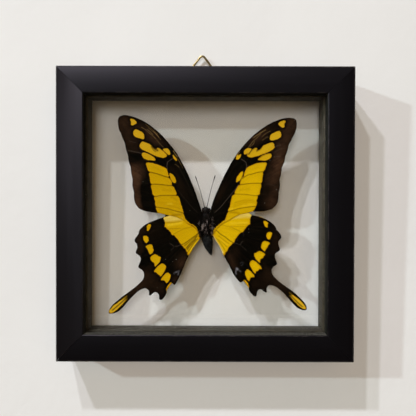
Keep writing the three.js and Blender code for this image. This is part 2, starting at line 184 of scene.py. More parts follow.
# ---------------------------------------------------------------- mesh helpers
def piece(name, body, verts, faces, material, smooth=True, attrs=None, indices=None):
    """One joined mesh that rides on a CAD body."""
    mesh = bpy.data.meshes.new(name)
    mesh.from_pydata([tuple(v) for v in verts], [], [tuple(f) for f in faces])
    mesh.validate(verbose=False)
    for m in material if isinstance(material, (list, tuple)) else [material]:
        mesh.materials.append(m)
    if indices is not None:
        mesh.polygons.foreach_set("material_index", np.asarray(indices, np.int32))
    for k, v in (attrs or {}).items():
        a = mesh.attributes.new(k, "FLOAT", "POINT")
        a.data.foreach_set("value", np.asarray(v, np.float32))
    mesh.polygons.foreach_set("use_smooth", [smooth] * len(mesh.polygons))
    mesh.update()
    ob = bpy.data.objects.new(name, mesh)
    scene.collection.objects.link(ob)
    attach(ob, body)
    return ob


def from_bmesh(name, body, bm, material):
    mesh = bpy.data.meshes.new(name)
    bmesh.ops.recalc_face_normals(bm, faces=bm.faces)
    bm.to_mesh(mesh)
    bm.free()
    for m in material if isinstance(material, (list, tuple)) else [material]:
        mesh.materials.append(m)
    ob = bpy.data.objects.new(name, mesh)
    scene.collection.objects.link(ob)
    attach(ob, body)
    return ob


def catmull(points, step=None, count=None):
    """A smooth line through the points, of any dimension, sampled evenly."""
    p = np.asarray(points, float)
    if len(p) > 2:
        ext = np.vstack([2 * p[0] - p[1], p, 2 * p[-1] - p[-2]])
        out = []
        for i in range(1, len(ext) - 2):
            a, b, c, d = ext[i - 1], ext[i], ext[i + 1], ext[i + 2]
            for s in np.linspace(0, 1, 12, endpoint=False):
                out.append(0.5 * ((2 * b) + (c - a) * s + (2 * a - 5 * b + 4 * c - d) * s * s + (3 * b - a - 3 * c + d) * s ** 3))
        out.append(ext[-2])
        p = np.array(out)
    seg = np.linalg.norm(np.diff(p, axis=0), axis=1)
    run = np.concatenate([[0], np.cumsum(seg)])
    n = count or max(2, int(round(run[-1] / step)) + 1)
    s = np.linspace(0, run[-1], n)
    return np.stack([np.interp(s, run, p[:, k]) for k in range(p.shape[1])], 1)


def tube_rings(line, radii, sides, closed=False, flat=None):
    """Verts and faces of a tube along a 3-D line; radii may be one number or one for each point."""
    line = np.asarray(line, float)
    n = len(line)
    radii = np.full(n, radii, float) if np.isscalar(radii) else np.asarray(radii, float)
    if closed:
        tan = np.roll(line, -1, 0) - np.roll(line, 1, 0)
    else:
        tan = np.gradient(line, axis=0)
    tan /= np.linalg.norm(tan, axis=1)[:, None]
    ref = np.array([0.0, 1.0, 0.0]) if flat is None else np.asarray(flat, float)
    verts, faces = [], []
    u_prev = None
    for i in range(n):
        base = ref if u_prev is None or flat is not None else u_prev
        v = np.cross(tan[i], base)
        if np.linalg.norm(v) < 1e-6:
            v = np.cross(tan[i], [1.0, 0.0, 0.3])
        v /= np.linalg.norm(v)
        u = np.cross(v, tan[i])
        u_prev = u
        for k in range(sides):
            a = 2 * math.pi * k / sides
            verts.append(line[i] + radii[i] * (math.cos(a) * u + math.sin(a) * v))
    rings = n if closed else n - 1
    for i in range(rings):
        j = (i + 1) % n
        for k in range(sides):
            k2 = (k + 1) % sides
            faces.append((i * sides + k, i * sides + k2, j * sides + k2, j * sides + k))
    if not closed:
        for i, flip in ((0, True), (n - 1, False)):
            c = len(verts)
            verts.append(line[i])
            for k in range(sides):
                k2 = (k + 1) % sides
                f = (c, i * sides + k, i * sides + k2)
                faces.append(f[::-1] if flip else f)
    return verts, faces


def joined(parts):
    verts, faces = [], []
    for v, f in parts:
        o = len(verts)
        verts += list(v)
        faces += [tuple(i + o for i in face) for face in f]
    return verts, faces


def segment_distance(points, line, closed=False):
    """Distance from each point to a polyline, with the place along it (0..1)."""
    p = np.asarray(points, float)
    a = np.asarray(line, float)
    b = np.roll(a, -1, 0) if closed else a[1:]
    if not closed:
        a = a[:-1]
    best = np.full(len(p), 1e9)
    where = np.zeros(len(p))
    n = len(a)
    for i in range(n):
        d = b[i] - a[i]
        L = max(float(d @ d), 1e-12)
        s = np.clip(((p - a[i]) @ d) / L, 0, 1)
        q = p - (a[i] + s[:, None] * d)
        dist = np.einsum("ij,ij->i", q, q)
        m = dist < best
        best[m] = dist[m]
        where[m] = (i + s[m]) / n
    return np.sqrt(best), where


def inside(points, poly):
    p = np.asarray(points, float)
    poly = np.asarray(poly, float)
    x, y = p[:, 0], p[:, 1]
    c = np.zeros(len(p), bool)
    j = len(poly) - 1
    for i in range(len(poly)):
        xi, yi = poly[i]
        xj, yj = poly[j]
        if yi != yj:
            hit = ((yi > y) != (yj > y)) & (x < (xj - xi) * (y - yi) / (yj - yi) + xi)
            c ^= hit
        j = i
    return c


def smoothstep(x, a, b):
    s = np.clip((x - a) / (b - a), 0, 1)
    return s * s * (3 - 2 * s)


def affine(pairs):
    """The affine map that best takes each pair's first point to its second."""
    a = np.array([[*p, 1.0] for p, _ in pairs])
    b = np.array([q for _, q in pairs])
    m = np.linalg.lstsq(a, b, rcond=None)[0]
    return lambda pts: [tuple(np.array([*p, 1.0]) @ m) for p in pts]


# ---------------------------------------------------------------- wing data, in millimetres
OUTLINE = {
  "forewing_left": [
    (-1.92, 2.42), (-2.95, 5.57), (-3.67, 7.26), (-3.90, 8.27), (-5.26, 11.87), (-7.57, 17.35), (-9.32, 20.97), (-12.86, 27.26), (-14.28, 29.16), 
    (-15.92, 31.07), (-16.57, 31.97), (-19.19, 34.91), (-21.56, 37.19), (-25.05, 39.92), (-27.08, 41.23), (-28.77, 42.13), (-32.03, 43.46), (-34.73, 44.14), 
    (-35.63, 44.28), (-36.86, 44.31), (-38.21, 43.92), (-38.89, 43.32), (-39.27, 42.47), (-39.37, 42.02), (-39.27, 40.11), (-38.82, 37.64), (-38.09, 36.34), 
    (-37.50, 34.61), (-36.23, 31.80), (-35.67, 28.77), (-34.83, 26.41), (-34.61, 24.16), (-34.37, 23.08), (-33.60, 21.13), (-33.42, 18.54), (-32.69, 15.40), 
    (-32.82, 12.92), (-32.46, 11.01), (-32.05, 9.66), (-32.12, 8.19), (-32.00, 6.50), (-31.60, 4.93), (-31.08, 3.93), (-30.20, 2.79), (-29.61, 2.30), 
    (-28.93, 1.89), (-27.59, 1.39), (-25.44, 0.88), (-21.35, 0.34), (-18.34, -0.27), (-16.34, -0.68), (-13.13, -1.37), (-10.21, -2.65), (-7.87, -4.40), 
    (-5.82, -5.09), (-4.07, -6.61), (-2.95, -8.18), (-0.80, -7.00), (-1.40, 0.00), 
  ],
  "forewing_right": [
    (2.51, 2.43), (2.60, 3.10), (2.96, 3.89), (3.15, 4.80), (4.03, 7.28), (4.90, 9.42), (6.07, 11.90), (6.27, 12.57), (8.53, 17.44), 
    (11.21, 22.49), (12.11, 23.98), (14.35, 27.43), (16.59, 30.29), (19.18, 33.18), (21.52, 35.48), (24.89, 38.15), (27.58, 39.96), (30.16, 41.34), 
    (33.64, 42.69), (36.33, 43.23), (37.68, 43.27), (39.26, 43.12), (40.07, 42.78), (40.58, 42.33), (40.87, 41.44), (40.90, 39.64), (40.65, 38.18), 
    (40.09, 36.38), (38.98, 34.36), (38.29, 32.72), (37.62, 31.61), (37.22, 30.76), (36.96, 29.21), (36.56, 27.72), (35.84, 26.04), (35.74, 24.80), 
    (35.35, 23.22), (34.94, 22.44), (34.28, 20.63), (34.24, 19.73), (33.90, 17.37), (33.32, 15.57), (33.51, 12.76), (33.24, 11.07), (32.85, 9.60), 
    (32.92, 8.82), (32.87, 7.47), (32.63, 5.66), (32.22, 4.81), (31.32, 3.52), (29.89, 2.28), (28.18, 1.75), (25.70, 1.18), (21.31, 1.11), 
    (18.68, 0.52), (15.47, -0.25), (12.56, -1.71), (10.23, -3.18), (8.01, -4.24), (6.44, -5.53), (4.87, -6.99), (4.06, -8.75), (1.40, -7.00), 
    (1.90, 0.00), 
  ],
  "hindwing_left": [
    (-18.39, -1.33), (-20.60, -2.05), (-24.12, -3.41), (-26.07, -4.28), (-26.93, -4.77), (-28.10, -5.63), (-29.47, -7.04), (-29.79, -7.70), (-30.04, -8.97), 
    (-31.60, -11.16), (-31.87, -12.14), (-31.70, -12.59), (-30.92, -13.51), (-30.70, -14.06), (-30.63, -15.30), (-31.14, -16.66), (-31.31, -17.34), (-31.28, -17.56), 
    (-30.91, -18.01), (-30.01, -18.56), (-29.61, -18.92), (-29.17, -19.60), (-29.04, -20.05), (-29.13, -21.29), (-29.79, -22.65), (-30.21, -23.90), (-29.84, -24.47), 
    (-28.75, -25.05), (-28.25, -25.48), (-27.77, -26.27), (-27.60, -26.84), (-27.52, -27.86), (-27.68, -28.76), (-28.11, -29.67), (-28.63, -30.32), (-31.01, -32.59), 
    (-35.18, -35.81), (-37.52, -37.40), (-41.63, -40.93), (-42.54, -42.08), (-43.38, -43.54), (-43.49, -44.45), (-43.42, -44.79), (-43.22, -44.98), (-42.81, -45.13), 
    (-42.08, -45.11), (-40.84, -44.83), (-39.59, -44.34), (-38.91, -43.92), (-37.33, -42.55), (-35.97, -41.03), (-34.84, -39.58), (-33.04, -37.59), (-31.30, -35.91), 
    (-30.27, -35.00), (-29.53, -34.50), (-28.74, -34.07), (-27.50, -33.60), (-27.05, -33.56), (-26.59, -33.64), (-25.91, -34.06), (-25.50, -34.53), (-25.26, -35.33), 
    (-25.31, -36.46), (-25.12, -36.75), (-24.89, -36.81), (-24.55, -36.70), (-22.97, -35.38), (-22.52, -35.28), (-21.95, -35.36), (-21.39, -35.72), (-20.87, -36.45), 
    (-20.74, -37.01), (-20.73, -38.26), (-20.61, -38.49), (-20.02, -38.86), (-19.77, -38.83), (-19.20, -38.48), (-18.67, -37.96), (-17.86, -36.78), (-17.39, -35.76), 
    (-17.18, -34.51), (-16.77, -33.60), (-15.53, -32.01), (-15.27, -31.56), (-14.98, -31.33), (-14.72, -31.31), (-14.04, -31.94), (-13.81, -32.00), (-13.32, -31.55), 
    (-12.42, -30.19), (-11.10, -27.47), (-9.99, -24.64), (-9.68, -24.07), (-8.63, -21.22), (-6.87, -17.95), (-4.94, -14.66), (-2.49, -11.26), (-0.60, -9.40), 
    (-0.60, -4.40), (-5.00, -2.20), (-10.00, 0.50), (-15.00, 1.40), (-17.50, 0.50), 
  ],
  "hindwing_right": [
    (20.78, -0.36), (25.32, -1.30), (25.46, -1.47), (27.24, -2.22), (28.83, -3.09), (30.61, -4.51), (31.42, -5.41), (31.89, -6.20), (32.07, -6.99), 
    (33.25, -8.19), (33.73, -8.91), (34.10, -9.58), (34.21, -10.04), (34.26, -10.49), (34.19, -10.71), (33.04, -12.17), (32.92, -12.53), (33.03, -13.88), 
    (33.63, -15.47), (33.65, -15.92), (33.25, -16.48), (31.63, -17.62), (31.39, -18.30), (31.47, -19.66), (32.30, -21.69), (32.36, -22.37), (31.91, -22.94), 
    (30.83, -23.58), (30.49, -23.88), (29.89, -24.98), (30.05, -26.34), (30.38, -27.13), (31.19, -28.27), (33.00, -30.07), (34.75, -31.42), (39.70, -34.87), 
    (41.34, -36.28), (44.06, -38.99), (45.05, -40.23), (45.58, -41.25), (45.87, -42.38), (45.77, -42.73), (45.50, -43.08), (44.94, -43.30), (43.81, -43.23), 
    (41.76, -42.32), (41.20, -41.93), (38.47, -39.14), (36.06, -36.29), (35.06, -35.28), (33.02, -33.53), (31.77, -32.64), (30.18, -32.08), (28.94, -32.01), 
    (28.60, -32.15), (28.04, -32.67), (27.73, -33.48), (27.71, -34.16), (27.87, -34.95), (27.60, -35.29), (27.26, -35.32), (26.35, -34.71), (26.01, -34.37), 
    (25.33, -33.98), (24.99, -33.88), (24.54, -33.90), (23.97, -34.24), (23.55, -34.85), (23.37, -35.42), (23.30, -36.41), (22.97, -37.01), (22.51, -37.18), 
    (21.95, -36.94), (20.56, -35.54), (19.99, -34.75), (19.61, -33.73), (19.50, -33.05), (17.74, -30.68), (17.51, -30.22), (16.83, -30.35), (16.16, -30.78), 
    (15.82, -30.73), (15.02, -30.08), (13.55, -28.31), (12.27, -26.16), (10.54, -22.54), (9.59, -21.07), (9.03, -19.83), (8.58, -19.38), (8.39, -18.81), 
    (8.19, -18.59), (6.48, -14.63), (3.83, -10.71), (1.50, -9.60), (1.20, -4.40), (5.00, -2.00), (10.00, 1.20), (15.00, 2.50), (18.30, 1.90), 
  ],
}

YELLOW = [
  [
    (-33.64, 42.61), (-32.94, 42.59), (-31.85, 42.16), (-30.94, 41.27), (-30.87, 40.93), (-31.03, 40.54), (-32.60, 39.65), (-33.26, 39.80), (-33.48, 40.25), 
    (-33.36, 41.26), (-33.80, 42.27), 
  ],
  [
    (35.03, 42.00), (35.68, 41.95), (35.92, 41.66), (35.78, 41.21), (35.25, 40.54), (35.43, 39.30), (35.02, 38.90), (34.34, 38.80), (33.67, 39.24), 
    (32.68, 40.20), (32.59, 40.53), (32.76, 40.87), (33.54, 41.50), 
  ],
  [
    (-31.75, 37.78), (-31.25, 37.88), (-30.57, 37.71), (-28.66, 36.78), (-28.03, 36.33), (-27.69, 35.77), (-27.46, 34.65), (-27.52, 33.97), (-27.77, 33.52), 
    (-28.20, 33.41), (-29.60, 33.97), (-30.79, 34.26), (-31.58, 34.60), (-32.11, 35.08), (-32.42, 35.87), (-32.35, 36.99), 
  ],
  [
    (32.33, 37.27), (33.11, 37.34), (33.70, 36.83), (33.96, 35.37), (33.79, 34.81), (33.35, 34.30), (32.11, 33.60), (29.87, 33.03), (29.19, 33.18), 
    (28.91, 33.56), (28.88, 33.89), (28.90, 34.91), (29.22, 35.58), (29.85, 36.11), 
  ],
  [
    (-28.43, 32.40), (-27.86, 32.37), (-25.16, 31.38), (-22.91, 29.23), (-21.89, 29.08), (-21.44, 29.55), (-20.54, 29.24), (-19.19, 28.31), (-17.75, 27.03), 
    (-17.37, 26.47), (-17.37, 25.90), (-17.84, 25.49), (-18.96, 25.13), (-21.21, 25.59), (-23.80, 26.64), (-25.27, 27.47), (-28.31, 28.77), (-29.32, 29.70), 
    (-29.66, 30.37), (-29.39, 31.38), 
  ],
  [
    (29.28, 32.10), (30.09, 32.15), (30.66, 31.65), (30.84, 31.31), (30.78, 30.53), (31.06, 30.19), (31.05, 29.97), (30.11, 28.98), (28.20, 27.95), 
    (24.04, 26.30), (20.78, 25.45), (19.43, 25.58), (18.70, 26.11), (18.64, 26.56), (19.19, 27.49), (17.73, 26.75), (17.47, 26.78), (17.31, 27.01), 
    (17.21, 27.79), (17.34, 28.36), (17.77, 28.92), (18.74, 29.61), (20.09, 29.64), (20.58, 29.38), (20.77, 28.88), (22.11, 29.67), (22.68, 29.77), 
    (23.20, 29.61), (23.42, 28.93), (24.25, 29.00), (24.73, 29.28), (25.37, 30.18), (26.25, 30.97), 
  ],
  [
    (-18.61, 29.27), (-17.17, 29.39), (-16.69, 29.17), (-16.12, 28.38), (-15.85, 27.60), (-15.83, 27.03), (-16.04, 26.56), (-16.60, 26.51), (-17.31, 26.92), 
    (-18.77, 28.38), (-19.06, 29.05), 
  ],
  [
    (-27.94, 27.56), (-26.96, 27.44), (-24.59, 26.42), (-23.09, 25.44), (-22.48, 24.54), (-22.47, 24.20), (-22.79, 23.99), (-23.35, 23.94), (-25.04, 24.21), 
    (-25.83, 24.15), (-27.38, 24.75), (-28.00, 25.31), (-28.60, 26.33), (-28.51, 27.11), 
  ],
  [
    (28.23, 27.26), (28.88, 27.32), (29.33, 27.16), (29.72, 26.37), (29.44, 25.53), (28.66, 24.75), (27.54, 24.26), (26.64, 24.08), (23.82, 24.26), 
    (23.53, 24.44), (23.59, 24.77), (24.15, 25.34), (25.50, 26.28), (26.96, 26.98), 
  ],
  [
    (15.69, 26.89), (15.93, 26.89), (16.00, 26.55), (15.59, 25.32), (14.59, 24.51), (13.90, 24.41), (13.73, 24.75), (13.90, 26.10), (14.36, 26.71), 
    (14.60, 26.78), (14.81, 26.28), 
  ],
  [
    (-14.58, 26.47), (-14.35, 26.47), (-13.02, 24.90), (-12.82, 24.23), (-12.98, 23.89), (-13.22, 23.92), (-13.76, 24.34), (-14.46, 25.24), (-14.64, 26.14), 
  ],
  [
    (-25.84, 23.07), (-24.02, 22.89), (-21.77, 22.22), (-19.07, 21.16), (-17.83, 20.56), (-17.53, 20.28), (-16.87, 18.71), (-16.53, 17.13), (-16.56, 16.34), 
    (-15.61, 15.33), (-15.13, 14.43), (-15.10, 12.74), (-14.19, 12.07), (-13.38, 10.50), (-12.91, 9.03), (-13.24, 8.36), (-13.07, 8.20), (-12.28, 8.00), 
    (-11.90, 7.46), (-11.54, 6.56), (-10.96, 4.19), (-10.56, 3.29), (-10.48, 2.51), (-10.18, 2.06), (-10.12, 1.49), (-9.83, 0.82), (-9.96, 0.14), 
    (-9.35, -1.10), (-8.63, -3.46), (-7.77, -4.48), (-5.74, -5.49), (-4.02, -6.85), (-3.27, -8.07), (-3.25, -8.75), (-2.89, -9.31), (-3.01, -10.44), 
    (-2.54, -10.44), (-2.22, -11.79), (-3.44, -13.36), (-3.70, -14.39), (-3.96, -14.73), (-3.99, -15.19), (-3.32, -15.48), (-2.99, -15.83), (-2.53, -15.81), 
    (-2.08, -16.02), (-1.86, -15.94), (-1.18, -16.22), (-1.07, -16.53), (-1.35, -16.98), (-1.18, -17.24), (-0.84, -17.39), (-0.42, -17.21), (-0.34, -16.87), 
    (-0.97, -16.08), (-1.07, -15.63), (-0.96, -15.47), (-0.39, -16.17), (-0.27, -16.76), (0.06, -17.06), (-0.06, -17.21), (0.11, -17.77), (0.07, -17.91), 
    (-0.39, -17.85), (-0.61, -18.13), (-1.17, -18.26), (-1.60, -18.68), (-2.40, -19.13), (-2.76, -19.59), (-3.37, -19.93), (-3.65, -20.60), (-4.14, -21.17), 
    (-4.89, -21.70), (-5.34, -21.45), (-6.13, -21.92), (-6.45, -21.63), (-6.40, -21.40), (-6.02, -21.25), (-5.72, -20.72), (-5.79, -20.50), (-6.30, -20.16), 
    (-6.53, -19.37), (-6.47, -19.06), (-6.21, -18.80), (-6.09, -17.56), (-6.25, -17.52), (-6.78, -17.79), (-7.38, -18.96), (-7.48, -18.92), (-7.41, -18.36), 
    (-7.94, -18.29), (-8.06, -18.13), (-7.91, -17.45), (-8.37, -16.89), (-8.93, -15.65), (-9.63, -15.31), (-10.09, -14.56), (-10.88, -13.90), (-11.11, -13.29), 
    (-11.46, -12.95), (-12.60, -11.15), (-14.08, -9.57), (-14.84, -9.49), (-15.05, -9.35), (-15.52, -8.41), (-16.40, -7.32), (-17.21, -6.76), (-17.60, -6.20), 
    (-18.32, -5.75), (-18.06, -4.05), (-18.36, -2.81), (-18.73, -2.25), (-18.71, -1.69), (-19.25, -1.58), (-16.66, -0.98), (-16.30, -0.78), (-16.33, -0.67), 
    (-20.81, 0.22), (-20.83, 0.67), (-21.65, 1.46), (-22.19, 2.25), (-22.23, 2.59), (-21.90, 3.04), (-22.34, 3.71), (-22.58, 4.50), (-22.45, 5.63), 
    (-23.01, 6.87), (-22.81, 7.77), (-23.73, 8.89), (-23.87, 10.58), (-24.47, 12.16), (-24.41, 12.72), (-24.08, 13.17), (-24.48, 13.62), (-24.89, 14.97), 
    (-24.96, 16.32), (-25.36, 17.78), (-25.32, 18.12), (-24.88, 18.68), (-25.71, 19.48), (-26.71, 22.39), (-26.56, 22.84), 
  ],
  [
    (25.28, 23.20), (26.98, 23.24), (27.41, 22.99), (27.50, 22.54), (26.76, 20.15), (25.74, 18.82), (25.95, 17.92), (25.57, 16.34), (25.52, 14.77), 
    (24.93, 13.64), (25.09, 12.40), (24.58, 10.71), (24.41, 9.13), (24.10, 8.65), (23.43, 8.34), (23.49, 7.44), (22.98, 6.09), (23.21, 5.19), 
    (22.79, 3.83), (22.78, 3.38), (21.97, 2.03), (21.28, 1.35), (21.18, 1.01), (21.54, 0.88), (23.46, 0.97), (25.82, 1.31), (25.91, 1.25), 
    (25.55, 1.02), (25.82, 0.91), (27.40, 0.96), (27.63, 0.79), (27.62, -0.55), (27.29, -0.76), (26.62, -0.75), (26.06, -1.06), (25.14, -1.12), 
    (25.41, -1.46), (26.27, -1.79), (26.59, -2.02), (26.51, -2.07), (23.58, -0.88), (20.87, -0.13), (20.74, -0.79), (20.33, -1.36), (20.08, -2.60), 
    (20.22, -4.18), (20.10, -4.51), (19.31, -4.90), (16.84, -8.05), (15.82, -8.42), (14.94, -9.38), (13.41, -11.53), (13.02, -12.87), (12.23, -13.29), 
    (11.45, -14.26), (10.98, -14.58), (10.47, -15.26), (9.76, -16.84), (9.12, -17.29), (8.89, -18.09), (8.55, -18.54), (8.61, -19.22), (8.53, -19.27), 
    (8.33, -18.65), (7.40, -17.87), (6.61, -18.01), (5.48, -17.36), (4.92, -17.76), (4.80, -18.02), (4.58, -18.06), (4.14, -17.76), (3.78, -16.90), 
    (3.62, -17.08), (3.56, -17.53), (3.52, -16.86), (3.89, -14.79), (4.21, -16.07), (4.35, -16.16), (4.68, -15.50), (5.25, -15.14), (5.31, -14.93), 
    (4.28, -13.36), (3.71, -11.44), (3.26, -10.43), (3.43, -10.47), (4.22, -11.65), (4.23, -11.33), (3.78, -10.20), (3.31, -9.45), (3.02, -9.52), 
    (2.98, -9.84), (2.97, -9.43), (3.40, -8.85), (3.87, -8.60), (3.92, -8.17), (3.64, -7.94), (4.06, -7.72), (4.21, -7.39), (4.77, -7.08), 
    (4.87, -6.47), (5.33, -5.78), (8.23, -3.64), (9.27, -1.53), (9.83, 0.19), (10.30, 0.98), (10.22, 1.88), (11.05, 3.36), (11.40, 5.61), 
    (12.05, 8.09), (12.29, 8.43), (13.17, 8.99), (13.06, 9.78), (14.24, 12.03), (14.71, 12.71), (15.55, 13.39), (15.51, 14.06), (15.86, 15.19), 
    (15.75, 15.25), (14.17, 14.32), (13.83, 14.43), (13.75, 15.41), (14.28, 16.88), (15.73, 18.75), (16.63, 19.20), (16.88, 19.02), (17.02, 18.46), 
    (16.92, 17.78), (16.57, 16.88), (16.57, 16.66), (16.76, 16.60), (17.22, 17.00), (17.36, 18.35), (18.54, 20.78), (19.89, 21.65), (22.25, 22.57), 
    (23.49, 22.95), 
  ],
  [
    (-16.17, 18.26), (-15.68, 18.25), (-14.67, 17.69), (-13.65, 16.41), (-13.14, 14.66), (-13.32, 13.99), (-13.65, 13.87), (-14.10, 13.93), (-15.03, 14.66), 
    (-15.76, 16.46), (-16.20, 17.92), 
  ],
  [
    (26.40, -3.03), (27.19, -3.12), (28.22, -3.82), (28.32, -4.15), (28.03, -4.72), (28.11, -5.62), (27.99, -6.01), (27.54, -6.02), (26.87, -5.51), 
    (26.15, -3.82), (26.16, -3.26), 
  ],
  [
    (-25.26, -4.64), (-24.66, -4.76), (-24.47, -5.09), (-24.47, -5.54), (-25.11, -7.06), (-25.56, -7.53), (-26.01, -7.64), (-26.24, -7.35), (-26.20, -6.33), 
    (-26.39, -5.65), (-25.79, -4.94), 
  ],
  [
    (28.32, -7.99), (29.46, -8.09), (29.92, -8.35), (30.11, -8.66), (29.66, -10.24), (29.14, -11.23), (28.80, -11.43), (28.46, -11.37), (27.95, -11.04), 
    (27.42, -9.80), (27.71, -8.55), 
  ],
  [
    (-27.45, -9.83), (-26.45, -9.81), (-25.67, -10.62), (-25.67, -11.18), (-25.43, -12.08), (-25.87, -12.65), (-26.45, -13.10), (-27.01, -12.99), (-27.78, -11.86), 
    (-27.96, -10.28), (-27.81, -10.02), 
  ],
  [
    (26.71, -12.05), (28.02, -12.32), (28.81, -12.74), (29.14, -13.18), (28.47, -13.88), (28.22, -14.53), (27.36, -15.89), (26.90, -16.55), (26.68, -16.66), 
    (26.34, -16.52), (25.60, -15.78), (25.24, -15.22), (25.14, -14.65), (25.65, -12.68), (26.18, -12.17), 
  ],
  [
    (-24.90, -13.77), (-24.42, -13.73), (-24.08, -13.96), (-23.69, -14.56), (-23.61, -15.46), (-23.20, -16.25), (-23.69, -17.50), (-24.30, -18.06), (-24.75, -18.20), 
    (-25.09, -18.00), (-26.07, -15.81), (-26.89, -14.80), (-26.78, -14.57), (-26.11, -14.11), 
  ],
  [
    (24.34, -16.58), (24.99, -16.64), (25.89, -17.10), (26.69, -17.70), (27.02, -18.15), (26.27, -19.05), (26.11, -19.62), (24.84, -20.41), (24.67, -21.94), 
    (23.99, -21.52), (22.65, -20.08), (22.02, -18.61), (22.17, -17.65), (22.98, -17.37), 
  ],
  [
    (-22.83, -18.17), (-22.37, -18.17), (-21.62, -18.51), (-21.03, -19.04), (-20.12, -19.49), (-20.00, -19.75), (-20.46, -21.55), (-22.37, -23.66), (-22.60, -23.61), 
    (-22.74, -23.37), (-22.83, -22.35), (-23.28, -21.81), (-23.87, -21.68), (-24.45, -20.77), (-24.77, -19.76), (-24.30, -19.07), 
  ],
  [
    (21.14, -20.76), (21.73, -20.80), (23.02, -21.55), (24.59, -23.01), (25.61, -24.48), (25.36, -24.75), (24.45, -24.75), (23.67, -25.64), (22.99, -25.86), 
    (22.66, -26.82), (22.15, -26.52), (21.62, -25.84), (20.20, -23.25), (20.03, -22.35), (20.11, -21.89), (20.53, -21.22), 
  ],
  [
    (-19.52, -22.34), (-19.10, -22.32), (-17.97, -23.12), (-17.72, -23.47), (-17.66, -23.92), (-18.03, -25.16), (-19.07, -26.97), (-19.88, -28.07), (-20.22, -28.21), 
    (-20.67, -27.61), (-21.46, -27.04), (-22.03, -26.41), (-22.37, -26.21), (-22.93, -26.18), (-23.10, -25.97), (-22.60, -25.08), (-21.28, -23.59), (-20.23, -22.72), 
  ],
  [
    (18.77, -24.95), (19.26, -24.90), (20.51, -25.78), (21.91, -27.31), (22.21, -27.99), (22.22, -28.44), (22.10, -28.51), (21.31, -28.40), (20.41, -28.70), 
    (20.14, -29.13), (19.90, -30.03), (19.73, -30.17), (19.51, -30.11), (18.89, -29.35), (17.97, -27.21), (18.05, -25.97), 
  ],
  [
    (-17.07, -26.40), (-16.50, -26.57), (-15.71, -27.28), (-15.52, -27.87), (-16.00, -29.56), (-16.83, -30.85), (-17.39, -31.23), (-17.62, -31.14), (-17.91, -30.47), 
    (-18.43, -30.02), (-18.86, -29.87), (-19.65, -29.94), (-19.86, -29.80), (-19.90, -29.57), (-19.58, -28.90), (-18.53, -27.55), (-17.74, -26.74), 
  ],
  [
    (17.43, -29.70), (17.81, -29.63), (18.35, -29.92), (19.38, -31.27), (19.83, -32.63), (19.63, -33.78), (19.41, -32.88), (17.57, -30.26), (17.48, -30.15), 
    (17.07, -30.15), 
  ],
  [
    (-15.72, -30.92), (-15.48, -30.87), (-14.80, -31.14), (-15.24, -31.48), (-16.67, -33.41), (-17.27, -34.86), (-17.62, -34.32), (-17.61, -33.86), (-16.68, -32.05), 
  ],
  [
    (38.01, -35.29), (39.28, -36.03), (42.90, -38.79), (44.50, -40.48), (45.29, -41.68), (45.63, -41.71), (45.74, -42.27), (45.63, -42.23), (45.33, -42.63), 
    (44.96, -42.83), (44.17, -42.68), (42.87, -41.95), (41.67, -40.90), (41.22, -40.26), (40.09, -39.25), (38.01, -36.76), (38.04, -36.33), (38.70, -36.42), 
    (38.61, -36.10), (38.00, -35.52), 
  ],
  [
    (-35.36, -37.19), (-35.25, -37.42), (-35.48, -37.87), (-35.22, -38.32), (-35.77, -39.34), (-39.40, -43.07), (-41.09, -44.29), (-41.87, -44.68), (-41.90, -44.79), 
    (-41.52, -44.90), (-42.67, -45.03), (-43.04, -44.91), (-42.55, -44.79), (-43.01, -44.47), (-43.24, -44.41), (-43.35, -44.61), (-43.35, -43.66), (-43.13, -43.21), 
    (-43.01, -43.03), (-42.67, -43.01), (-41.09, -41.18), (-40.10, -40.60), (-36.92, -38.02), 
  ],
]

# The two wings of a pair are alike but not quite mirrored, so what is drawn on the left one is
# carried over by an affine fit to matching places on the right one.
FORE_TO_RIGHT = affine([
    ((-1.92, 2.42), (2.51, 2.43)), ((-39.3, 42.0), (40.9, 40.9)), ((-36.2, 31.8), (37.2, 30.8)),
    ((-33.5, 19.2), (34.1, 19.2)), ((-32.05, 8.2), (32.8, 8.4)), ((-30.2, 2.8), (30.9, 3.1)),
    ((-17.2, 21.4), (18.5, 21.3)), ((-14.8, 24.9), (16.0, 24.7)), ((-25.2, 18.8), (26.3, 19.1)),
    ((-23.1, 7.9), (24.0, 8.4)), ((-21.6, 3.0), (22.8, 3.5)),
])
HIND_TO_RIGHT = affine([
    ((-31.6, -12.1), (33.95, -10.3)), ((-31.1, -17.6), (33.4, -15.8)), ((-30.0, -23.8), (32.1, -22.1)),
    ((-43.0, -44.6), (45.2, -42.8)), ((-24.9, -36.6), (27.5, -35.0)), ((-20.2, -38.5), (22.5, -36.8)),
    ((-13.8, -31.7), (15.9, -30.6)), ((-13.9, -14.7), (15.7, -13.8)), ((-2.5, -11.3), (3.8, -10.7)),
    ((-18.4, -1.3), (20.8, -0.4)),
])

